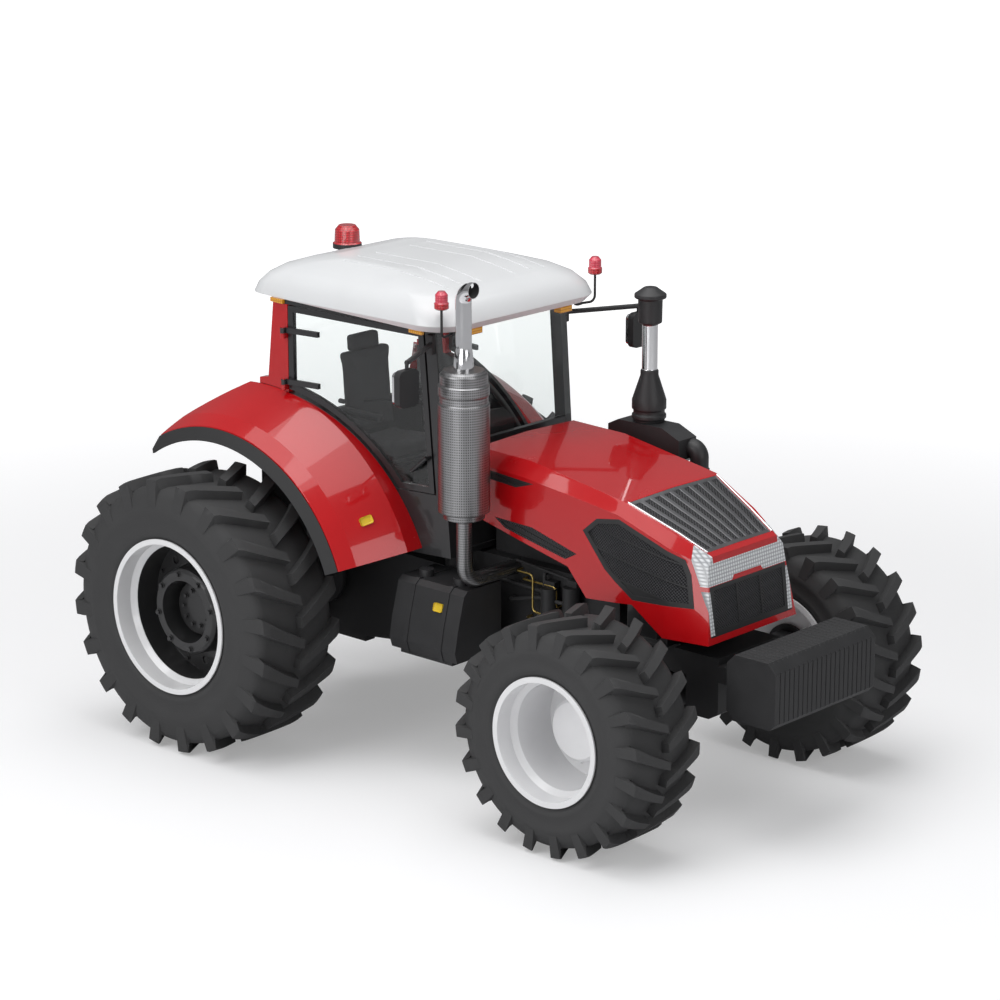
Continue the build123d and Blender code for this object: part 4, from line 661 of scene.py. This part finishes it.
# %% Beacons, the stack's mouth and the precleaner's tube
ROOF_DOME_HEIGHT = 0.115
CORNER_DOME_HEIGHT = 0.070
DOME_OVERLAP = 0.005
STALK_DROP = 0.040  # from a corner beacon's foot down to its stalk
MOUTH_HALF_HEIGHT = 0.050
MOUTH_DEPTH, MOUTH_RADIUS = 0.075, 0.0478
TUBE_FROM, TUBE_TO = 0.33, 0.63  # heights over the precleaner's bottom
TUBE_RADIUS = 0.0515


def in_mouth(place):
    """Whether a corner lies inside the stack's open end."""
    return (place.x > stack_high[0] - MOUTH_DEPTH
            and math.hypot(place.y - STACK_AXIS[1], place.z - mouth_z) < MOUTH_RADIUS)


def on_tube(place):
    """Whether a corner lies on the precleaner's tube."""
    return (TUBE_FROM < place.z - tube_low[2] < TUBE_TO
            and math.hypot(place.x - tube_x, place.y - tube_y) < TUBE_RADIUS)


dome_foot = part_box("roof_beacon")[1][2] - ROOF_DOME_HEIGHT
part_off("roof_beacon", "roof_beacon_foot", lambda place: place.z < dome_foot, "black_plastic")
dome_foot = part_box("corner_beacons")[1][2] - CORNER_DOME_HEIGHT
part_off("corner_beacons", "corner_beacon_domes", lambda place: place.z > dome_foot - DOME_OVERLAP,
         "lamp_red", paint="lamp_pink")
part_off("corner_beacons", "corner_beacon_stalks", lambda place: place.z < dome_foot - STALK_DROP,
         "black_plastic")
mouth_z = stack_high[2] - MOUTH_HALF_HEIGHT
# The stack's open end is painted black inside.
part_off("exhaust_stack", "exhaust_mouth", in_mouth, "black_plastic")
tube_low, tube_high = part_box("precleaner")
tube_x, tube_y = (tube_low[0] + tube_high[0]) / 2, (tube_low[1] + tube_high[1]) / 2
part_off("precleaner", "precleaner_tube", on_tube, "chrome")

# %% [markdown]
# ## Tyres
# An agricultural tyre is a round carcass with two rows of lugs, set half a step apart. The
# carcass is a section spun about the axle. One lug is a grid whose inner cells lie on the
# tread and whose border cells are drawn down to the carcass, so that its flanks slope. It curves
# back towards the shoulder, is copied round the tyre, and its mirror image makes the other row.

# %% The carcass
CARCASS_STEPS = 120
TREAD_SHARE = 0.46  # the tread's half width over the tyre's width
BETWEEN_LUGS = 0.058  # from the top of the lugs down to the crown between them


def turned(name, profile, steps):
    """Spin a (distance along Y, radius) profile about the Y axis."""
    mesh = bpy.data.meshes.new(name)
    mesh.from_pydata([(0, y, r) for y, r in profile], [(i, i + 1) for i in range(len(profile) - 1)], [])
    piece = bpy.data.objects.new(name, mesh)
    scene.collection.objects.link(piece)
    pick(piece)
    bpy.ops.object.mode_set(mode="EDIT")
    bpy.ops.mesh.select_all(action="SELECT")
    bpy.ops.mesh.spin(steps=steps, angle=2 * math.pi, center=(0, 0, 0), axis=(0, 1, 0))
    bpy.ops.mesh.select_all(action="SELECT")
    bpy.ops.mesh.remove_doubles(threshold=0.0001)
    bpy.ops.mesh.normals_make_consistent(inside=False)
    bpy.ops.object.mode_set(mode="OBJECT")
    return piece


def carcass(name, radius, width, flange, rim_half):
    """Sidewalls with their ribs, shoulders and the crown between the lugs."""
    crown = radius - BETWEEN_LUGS
    tread = TREAD_SHARE * width
    side = [(rim_half - 0.017, flange - 0.024), (rim_half - 0.017, flange + 0.010),
            (rim_half - 0.004, flange + 0.022), (rim_half + 0.004, flange + 0.050),
            (rim_half + 0.002, flange + 0.056)]
    low_wall = (width / 2 - 0.010, 0.66 * radius + 0.03)
    if low_wall[1] >= flange + 0.06:  # a low sidewall has no room for it over the bead
        side.append(low_wall)
    side += [(width / 2 - 0.002, 0.735 * radius), (width / 2 - 0.001, 0.76 * radius),
             (width / 2 - 0.008, 0.79 * radius), (tread + 0.004, crown - 0.062),
             (tread - 0.016, crown - 0.018), (tread - 0.060, crown - 0.004), (0.0, crown)]
    return turned(name, side + [(-y, r) for y, r in reversed(side[:-1])], CARCASS_STEPS)


# %% One lug
LUG_REFERENCE = 0.905  # the radius for which the lug's places are given
# Share of the half tread, and the lug's trailing and leading edges, in metres round the tyre.
LUG_STATIONS = ((-0.03, -0.128, -0.064), (0.45, -0.056, 0.018), (1.0, 0.040, 0.134))
LUG_COLUMNS, LUG_ROWS = 17, 6
ON_TREAD = 0.72  # the share of the columns on the tread; the others go over the shoulder
ROOT_DEPTH = 0.075  # from the top of a lug down to the foot of its flanks
FLANK = 0.013  # how far a flank's foot stands out along the tyre
INNER_FLANK = 0.010  # and at the lug's inner end
SHOULDER_LEAD = 0.010  # how far the lug runs on over the shoulder
SHOULDER_STEP, SHOULDER_BULGE = 0.006, 0.014  # how far it stands out there, and grows downward
CROWNING = 0.006  # how much lower the tread's edge is than its middle
SHOULDER_DROP = 0.190
SHOULDER_DEPTH = 0.020  # the lug's height on the shoulder
SHOULDER_SINK = 0.030  # how far the flanks there go into the sidewall
LUG_EDGE = 0.008


def between(share, column):
    """A lug edge's place round the tyre: a smooth line through the three stations."""
    total = 0.0
    for i, station in enumerate(LUG_STATIONS):
        weight = 1.0
        for j, other in enumerate(LUG_STATIONS):
            if i != j:
                weight *= (share - other[0]) / (station[0] - other[0])
        total += weight * station[column]
    return total


def lug(radius, width):
    """One lug of the right row, over the top of the tyre."""
    tread = TREAD_SHARE * width
    root = radius - ROOT_DEPTH
    inner = LUG_STATIONS[0][0]
    bpy.ops.object.select_all(action="DESELECT")
    bpy.ops.mesh.primitive_grid_add(x_subdivisions=LUG_COLUMNS, y_subdivisions=LUG_ROWS, size=1)
    piece = bpy.context.object
    for vertex in piece.data.vertices:
        i = round((vertex.co.x + 0.5) * LUG_COLUMNS)
        j = round((vertex.co.y + 0.5) * LUG_ROWS)
        u = min(max(i - 1, 0), LUG_COLUMNS - 2) / (LUG_COLUMNS - 2)
        v = min(max(j - 1, 0), LUG_ROWS - 2) / (LUG_ROWS - 2)
        share = inner + (1 - inner) * min(u / ON_TREAD, 1.0)
        fall = max(0.0, (u - ON_TREAD) / (1 - ON_TREAD))  # how far over the shoulder
        low, high = between(share, 1), between(share, 2)
        border = (-1 if j == 0 else 1 if j == LUG_ROWS else 0)
        along = low + (high - low) * v + border * FLANK + fall * SHOULDER_LEAD
        along -= INNER_FLANK if i == 0 else 0.0
        out = tread * share + (SHOULDER_STEP + SHOULDER_BULGE * fall) * (fall > 0)
        reach = radius - CROWNING * share**2 - fall * SHOULDER_DROP * radius / LUG_REFERENCE
        depth = 0.0
        if border or i in (0, LUG_COLUMNS):
            depth = (reach - root) * (1 - fall) + SHOULDER_DEPTH * fall
        if fall > 0 and (border or i == LUG_COLUMNS):
            out -= SHOULDER_SINK * min(1.0, fall * 2 + 0.3)
        turn = along / LUG_REFERENCE
        r = reach - depth
        vertex.co = (-r * math.sin(turn), -out, r * math.cos(turn))
    pick(piece)
    bpy.ops.object.mode_set(mode="EDIT")
    bpy.ops.mesh.select_all(action="SELECT")
    bpy.ops.mesh.normals_make_consistent(inside=False)
    bpy.ops.object.mode_set(mode="OBJECT")
    if piece.data.polygons[len(piece.data.polygons) // 2].normal.z < 0:
        piece.data.flip_normals()
    return bevelled(piece, LUG_EDGE, segments=3)


# %% Join and copy
MIRROR = Matrix.Scale(-1, 4, (0, 1, 0))


def joined(pieces, name):
    """Several pieces as one."""
    bpy.ops.object.select_all(action="DESELECT")
    for piece in pieces:
        piece.select_set(True)
    bpy.context.view_layer.objects.active = pieces[0]
    bpy.ops.object.join()
    pieces[0].name = name
    return pieces[0]


def copied(piece, matrix, name="copy"):
    """A copy with its own mesh, moved by a matrix that is applied to the mesh."""
    made = piece.copy()
    made.data = piece.data.copy()
    made.name = name
    scene.collection.objects.link(made)
    made.data.transform(matrix)
    if matrix.determinant() < 0:
        made.data.flip_normals()
    return made


# %% The tyres
LUGS = 20
LUG_PHASE = math.radians(2.0)
TREAD_SMOOTH = math.radians(38)


def tyre(name, right_node, rim_node):
    """A right-hand tyre at the place and size of its CAD node."""
    low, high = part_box(right_node)
    centre = (Vector(low) + Vector(high)) / 2
    radius, width = (high[2] - low[2]) / 2, high[1] - low[1]
    rim_low, rim_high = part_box(rim_node)
    flange = (rim_high[2] - rim_low[2]) / 2
    rim_half = centre.y - rim_low[1]
    body = carcass(name + "_carcass", radius, width, flange, rim_half)
    cleat = lug(radius, width)
    step = 2 * math.pi / LUGS
    lugs = []
    for index in range(LUGS):
        lugs.append(copied(cleat, Matrix.Rotation(step * index - LUG_PHASE, 4, "Y")))
        lugs.append(copied(cleat, Matrix.Rotation(step * (index + 0.5) - LUG_PHASE, 4, "Y") @ MIRROR))
    bpy.data.objects.remove(cleat)
    whole = joined([body] + lugs, name)
    whole.data.transform(Matrix.Translation(centre))
    pick(whole)
    bpy.ops.object.shade_smooth_by_angle(angle=TREAD_SMOOTH)
    return whole


for axle in ("rear", "front"):
    right = tyre(axle + "_tyre_right_tread", axle + "_tyre_right", axle + "_wheel_right")
    left = copied(right, MIRROR, axle + "_tyre_left_tread")
    for piece, side in ((right, "right"), (left, "left")):
        keep(piece, f"{axle}_wheel_{side}", "tyre_rubber", f"{axle}_tyre_{side}")
    print(axle, "tyre faces:", len(right.data.polygons))

# %% [markdown]
# ## Wheel bolts
# Discs and hubs are held by rings of hexagonal bolts. One bolt is a six-sided cylinder whose top
# edge is bevelled, standing on a round washer; it is copied round each bolt circle.

# %% Rings of bolts
# Name, wheel, how far the ring lies from the tyre's middle along Y, the circle's radius, how many
# bolts, a bolt's radius and height, its finish and the first bolt's angle.
BOLT_RINGS = (
    ("rear_ring_bolts", "rear", -0.178, 0.245, 8, 0.017, 0.020, "rim_grey", 0.2),
    ("rear_hub_bolts", "rear", -0.069, 0.115, 10, 0.014, 0.020, "rim_grey", 0.0),
    ("rear_disc_bolts", "rear", -0.007, 0.415, 12, 0.014, 0.018, "rim_grey", 0.13),
    ("front_disc_bolts", "front", 0.144, 0.262, 10, 0.014, 0.018, "rim_white", 0.0),
    ("front_hub_bolts", "front", 0.011, 0.128, 6, 0.012, 0.016, "rim_white", 0.0),
)
WASHER_RADIUS, WASHER_HEIGHT, BOLT_EDGE = 1.35, 0.3, 0.12  # shares of the bolt's own size


def bolt(size, height):
    """A hexagon head on its washer, pointing along -Y from the origin."""
    made = []
    for corners, radius, depth in ((6, size, height),
                                   (20, size * WASHER_RADIUS, height * WASHER_HEIGHT)):
        bpy.ops.object.select_all(action="DESELECT")
        bpy.ops.mesh.primitive_cylinder_add(vertices=corners, radius=radius, depth=depth,
                                            location=(0, -depth / 2, 0), rotation=(math.pi / 2, 0, 0))
        bpy.ops.object.transform_apply(location=True, rotation=True, scale=True)
        made.append(bpy.context.object)
    return bevelled(joined(made, "bolt"), size * BOLT_EDGE)


def bolt_ring(name, axle, away, circle, count, size, height, slot, phase):
    """Bolts round a circle, for a right-hand wheel and, mirrored, its left-hand one."""
    low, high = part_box(axle + "_tyre_right")
    centre = (Vector(low) + Vector(high)) / 2
    one = bolt(size, height)
    ring = []
    for index in range(count):
        angle = phase + 2 * math.pi * index / count
        ring.append(copied(one, Matrix.Translation((centre.x + circle * math.cos(angle), centre.y + away,
                                                    centre.z + circle * math.sin(angle)))))
    bpy.data.objects.remove(one)
    right = joined(ring, name + "_right")
    left = copied(right, MIRROR, name + "_left")
    keep(right, axle + "_wheel_right", slot)
    keep(left, axle + "_wheel_left", slot)


for about in BOLT_RINGS:
    bolt_ring(*about)
print("bolt rings:", len(BOLT_RINGS))

# %% [markdown]
# ## The driver's seat
# The seat is upholstered. Each cushion starts as a bevelled block whose surface is divided into
# small even cells, blown up a little as cloth, and smoothed, so its sides pull in between its
# corners. Its base and its armrests stay rigid.

# %% A block and a cushion
CELL = 0.012
PRESSURE = 4
PRESSURE_STEPS = 20
FARTHEST_MOVE = 0.022


def block(name, size):
    """A box of a given size round the origin."""
    bpy.ops.object.select_all(action="DESELECT")
    bpy.ops.mesh.primitive_cube_add(size=1)
    piece = bpy.context.object
    piece.name = name
    piece.scale = size
    bpy.ops.object.transform_apply(location=False, rotation=False, scale=True)
    return piece


def cushion(name, size, place, tilt):
    """A padded block: bevelled, tilted by an angle in degrees, then blown up as cloth."""
    pad = block(name, size)
    bevelled(pad, min(size) * 0.30, segments=4)
    pad.data.transform(Matrix.Translation(place) @ Matrix.Rotation(math.radians(tilt), 4, "Y"))
    pick(pad)
    pad.data.remesh_voxel_size = CELL
    bpy.ops.object.voxel_remesh()
    rest = [vertex.co.copy() for vertex in pad.data.vertices]
    cloth_step = pad.modifiers.new("fill", "CLOTH")
    cloth_step.settings.use_pressure = True
    cloth_step.settings.uniform_pressure_force = PRESSURE
    cloth_step.settings.effector_weights.gravity = 0
    for step in range(1, PRESSURE_STEPS + 1):
        scene.frame_set(step)
    bpy.ops.object.modifier_apply(modifier="fill")
    for vertex, start_place in zip(pad.data.vertices, rest):
        move = vertex.co - start_place
        if move.length > FARTHEST_MOVE:
            vertex.co = start_place + move.normalized() * FARTHEST_MOVE
    scene.frame_set(1)
    smooth = pad.modifiers.new("smooth", "SUBSURF")
    smooth.levels = 1
    bpy.ops.object.modifier_apply(modifier="smooth")
    pick(pad)
    bpy.ops.object.shade_smooth()
    keep(pad, "chassis", "seat_fabric")


# %% The seat's pieces
SEAT_CUT = 0.26  # over the seat's bottom, where its rigid base ends
PAD_TILT = -4.5

seat_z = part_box("seat")[0][2]
seat_base = merged_copy("seat", "seat_frame")
pick(seat_base)
bpy.ops.object.mode_set(mode="EDIT")
bpy.ops.mesh.select_all(action="SELECT")
bpy.ops.mesh.bisect(plane_co=(0, 0, seat_z + SEAT_CUT), plane_no=(0, 0, 1), clear_outer=True,
                    use_fill=True)
bpy.ops.object.mode_set(mode="OBJECT")
bevelled(seat_base, 0.006)
keep(seat_base, "chassis", "black_plastic", "seat")
cushion("seat_cushion", (0.46, 0.44, 0.085), (-0.87, 0, seat_z + 0.285), -4)
cushion("seat_back", (0.085, 0.42, 0.58), (-1.115, 0, seat_z + 0.62), PAD_TILT)
cushion("seat_head_rest", (0.07, 0.25, 0.11), (-1.150, 0, seat_z + 0.935), PAD_TILT)
for name, y in (("right", -0.275), ("left", 0.275)):
    armrest = bevelled(block("seat_armrest_" + name, (0.36, 0.055, 0.05)), 0.018, segments=4)
    armrest.data.transform(Matrix.Translation((-0.90, y, seat_z + 0.53)))
    keep(armrest, "chassis", "black_plastic")
print("seat is upholstered")

# %% [markdown]
# ## Round pieces
# A steering wheel, hose rings and pipes are circles or tubes carried along a line.

# %% Tubes
CHORDS = 6  # in a rounded corner
MOST_BEND = 0.45  # of a run, that its corner's rounding may take up
ROUND_SMOOTH = math.radians(40)


def tube(name, points, radius, body=None, slot=None, paint=None, sides=12, bend=0.0):
    """A round tube along straight runs, its corners rounded off by short chords."""
    line = [Vector(points[0])]
    for before, corner, after in zip(points, points[1:], points[2:]):
        before, corner, after = Vector(before), Vector(corner), Vector(after)
        reach = min(bend, (corner - before).length * MOST_BEND, (after - corner).length * MOST_BEND)
        first = corner + (before - corner).normalized() * reach
        last = corner + (after - corner).normalized() * reach
        for step in range(CHORDS + 1):
            t = step / CHORDS
            line.append(first * (1 - t) ** 2 + corner * 2 * t * (1 - t) + last * t**2)
    line.append(Vector(points[-1]))
    bpy.ops.object.select_all(action="DESELECT")
    bpy.ops.curve.primitive_nurbs_path_add()
    path = bpy.context.object
    path.data.splines.clear()
    spline = path.data.splines.new("POLY")
    spline.points.add(len(line) - 1)
    for point, place in zip(spline.points, line):
        point.co = (*place, 1)
    path.data.bevel_depth = radius
    path.data.bevel_resolution = max(1, sides // 4)
    path.data.use_fill_caps = True
    bpy.ops.object.convert(target="MESH")
    piece = bpy.context.object
    piece.name = name
    bpy.ops.object.shade_smooth_by_angle(angle=ROUND_SMOOTH)
    if body:
        keep(piece, body, slot, paint=paint)
    return piece


# %% Steering wheel
WHEEL_RADIUS = 0.198
WHEEL_PLACE = (-0.333, 0, 2.132)
WHEEL_TURN = math.atan2(-0.5, 1.0)
HUB_CAP = [(0.0, 0.0), (0.0, 0.050), (-0.014, 0.048), (-0.022, 0.030), (-0.024, 0.0)]
SPOKE = ((0.03, -0.008), (0.12, -0.010), (WHEEL_RADIUS, 0))  # distances from the axis, and heights

bpy.ops.object.select_all(action="DESELECT")
bpy.ops.mesh.primitive_torus_add(major_segments=64, minor_segments=14, major_radius=WHEEL_RADIUS,
                                 minor_radius=0.015)
ring = bpy.context.object
hub_cap = turned("hub_cap", HUB_CAP, 32)
hub_cap.data.transform(Matrix.Rotation(math.radians(-90), 4, "X"))
spokes = []
for angle in (math.radians(90), math.radians(210), math.radians(330)):
    spokes.append(tube("spoke", [(r * math.cos(angle), r * math.sin(angle), z) for r, z in SPOKE],
                       0.011, bend=0.03))
column = tube("column", [(0, 0, -0.11), (0, 0, 0.0)], 0.024, sides=24)
steering = joined([ring, hub_cap, column] + spokes, "steering_wheel_ring")
steering.data.transform(Matrix.Translation(WHEEL_PLACE) @ Matrix.Rotation(WHEEL_TURN, 4, "Y"))
pick(steering)
bpy.ops.object.shade_smooth_by_angle(angle=ROUND_SMOOTH)
keep(steering, "chassis", "black_plastic", "steering_wheel")
print("steering wheel faces:", len(steering.data.polygons))

# %% Hose rings
HOSE_RINGS = 9
HOSE_BOTTOM, HOSE_PITCH = 1.52, 0.042

hose_x, hose_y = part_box("air_cleaner")[1][0] - 0.055, 0.692
for index in range(HOSE_RINGS):
    bpy.ops.object.select_all(action="DESELECT")
    bpy.ops.mesh.primitive_torus_add(
        major_segments=40, minor_segments=8, major_radius=0.056, minor_radius=0.007,
        location=(hose_x, hose_y, HOSE_BOTTOM + HOSE_PITCH * index))
    ring = bpy.context.object
    ring.name = f"hose_ring_{index}"
    bpy.ops.object.transform_apply(location=True, rotation=True, scale=True)
    bpy.ops.object.shade_smooth()
    keep(ring, "chassis", "black_plastic", paint="black_rubber")
print("hose rings:", HOSE_RINGS)

# %% Pipes and cables of the engine
ENGINE_SIDE = -0.300
# The corners of each run, its radius and its finish.
PIPES = (
    (((0.52, ENGINE_SIDE, 1.30), (0.52, -0.36, 1.30), (0.66, -0.36, 1.30), (0.66, -0.36, 1.06),
      (0.94, -0.36, 1.06)), 0.007, "brass_pipe"),
    (((0.56, ENGINE_SIDE, 1.25), (0.56, -0.345, 1.25), (0.84, -0.345, 1.25), (0.84, -0.345, 1.12),
      (0.84, ENGINE_SIDE, 1.12)), 0.007, "brass_pipe"),
    (((0.60, ENGINE_SIDE, 1.01), (0.60, -0.35, 1.01), (0.98, -0.35, 1.01), (0.98, -0.35, 1.21),
      (0.98, ENGINE_SIDE, 1.21)), 0.008, "brass_pipe"),
    (((0.30, ENGINE_SIDE, 1.22), (0.30, -0.34, 1.22), (0.74, -0.34, 1.20), (0.74, -0.34, 1.32),
      (0.74, ENGINE_SIDE, 1.32)), 0.013, "black_rubber"),
    (((0.46, ENGINE_SIDE, 1.10), (0.46, -0.35, 1.10), (0.70, -0.35, 1.16), (0.90, -0.35, 1.16),
      (0.90, ENGINE_SIDE, 1.16)), 0.013, "black_rubber"),
    (((0.50, ENGINE_SIDE, 1.36), (0.50, -0.33, 1.36), (1.10, -0.33, 1.30),
      (1.10, ENGINE_SIDE, 1.30)), 0.010, "cast_black"),
)

for index, (points, radius, paint) in enumerate(PIPES):
    tube(f"engine_pipe_{index}", points, radius, "chassis", "cast_black", paint=paint, bend=0.035)
print("engine pipes:", len(PIPES))

# %% [markdown]
# ## Trim
# Small plates, the wiper, the mirrors' glass and bright strips. Each lies on the surface under it,
# whose place is found by casting a ray at the CAD solid.

# %% Finding a surface
def surface(node, start_place, direction):
    """Where a ray from a place first meets a CAD node."""
    solid = nodes[node].data
    faces = BVHTree.FromPolygons([vertex.co for vertex in solid.vertices],
                                 [face.vertices[:] for face in solid.polygons])
    place, normal, _, _ = faces.ray_cast(Vector(start_place), Vector(direction).normalized())
    if place is None:
        raise ValueError(f"no surface of {node} from {start_place}")
    return place, normal


# %% A plate on a surface
PLATE_GAP = 0.0003
THIN_SHEET = 0.0015


def plate_on(name, node, start_place, direction, across, size, slot, paint=None, corner=0.25):
    """A thin plate with rounded corners that lies on a surface of the chassis."""
    place, normal = surface(node, start_place, direction)
    width, height, sheet = size
    piece = block(name, size)
    bpy.ops.object.mode_set(mode="EDIT")
    bpy.ops.mesh.select_mode(type="EDGE")
    bpy.ops.object.mode_set(mode="OBJECT")
    for edge in piece.data.edges:
        a, b = (piece.data.vertices[i].co for i in edge.vertices)
        edge.select = abs(a.z - b.z) > sheet * 0.5
    bpy.ops.object.mode_set(mode="EDIT")
    bpy.ops.mesh.bevel(offset=min(width, height) * corner, segments=4)
    bpy.ops.object.mode_set(mode="OBJECT")
    bevelled(piece, sheet * 0.25, segments=1)
    along = (Vector(across) - Vector(across).dot(normal) * normal).normalized()
    turn = Matrix((along, normal.cross(along), normal)).transposed().to_4x4()
    piece.data.transform(Matrix.Translation(place + normal * (sheet / 2 + PLATE_GAP)) @ turn)
    keep(piece, "chassis", slot, paint=paint)


def yellow_plate(name, node, start_place, direction, across, width, height):
    """A blank yellow plate."""
    plate_on(name, node, start_place, direction, across, (width, height, THIN_SHEET), "lamp_amber",
             paint="plate_yellow")


# %% Plates and mirrors' glass
yellow_plate("tank_plate", "service_tank", (0.30, -2.2, 1.12), (0, 1, 0), (1, 0, 0), 0.075, 0.055)
yellow_plate("fender_plate", "fenders", (1.2, -0.93, 1.60), (-1, 0, 0), (0, 1, 0), 0.085, 0.055)
for side, y in (("right", -1.095), ("left", 1.095)):
    plate_on("mirror_glass_" + side, "mirrors", (-0.5, y, 2.565), (1, 0, 0), (0, 1, 0),
             (0.145, 0.200, 0.002), "chrome", corner=0.2)
yellow_plate("engine_plate", "engine", (0.70, -2.0, 0.98), (0, 1, 0), (1, 0, 0), 0.070, 0.050)
print("plates are on")


# %% Wiper
def before_glass(y, z, gap):
    """A place that far ahead of the windscreen."""
    return surface("cab_glass", (2.0, y, z), (-1, 0, 0))[0] + Vector((gap, 0, 0))


foot, knee = before_glass(-0.05, 2.03, 0.018), before_glass(-0.33, 2.34, 0.022)
tail, tip = before_glass(-0.22, 2.16, 0.012), before_glass(-0.42, 2.62, 0.012)
spindle = [foot - Vector((0.03, 0, 0)), foot + Vector((0.012, 0, 0))]
tube("wiper_arm", [foot, knee], 0.007, "chassis", "black_plastic")
tube("wiper_blade", [tail, tip], 0.0055, "chassis", "black_plastic")
tube("wiper_spindle", spindle, 0.016, "chassis", "black_plastic")
print("wiper length:", round((tip - tail).length, 3))

# %% Bright strips beside the louvres
STRIP_STEPS = 8
STRIP_GAP = 0.012  # from the louvres' edge out to a strip
STRIP_LIFT = 0.001
END_REACH = 0.04  # how far from the louvres' ends their width there is measured

louvres = [vertex.co for vertex in nodes["top_louvres"].data.vertices]
rear_x, front_x = min(place.x for place in louvres), max(place.x for place in louvres)
rear_half = max(place.y for place in louvres if place.x < rear_x + END_REACH)
front_half = max(place.y for place in louvres if place.x > front_x - END_REACH)
for side, name in ((-1, "right"), (1, "left")):
    line = []
    for step in range(STRIP_STEPS + 1):
        x = rear_x + (front_x - rear_x) * step / STRIP_STEPS
        half = rear_half + (front_half - rear_half) * step / STRIP_STEPS + STRIP_GAP
        line.append(surface("hood", (x, side * half, 3.0), (0, 0, -1))[0] + Vector((0, 0, STRIP_LIFT)))
    tube("louvre_strip_" + name, line, 0.007, "hood", "louvre_silver", paint="chrome")
print("trim is on")
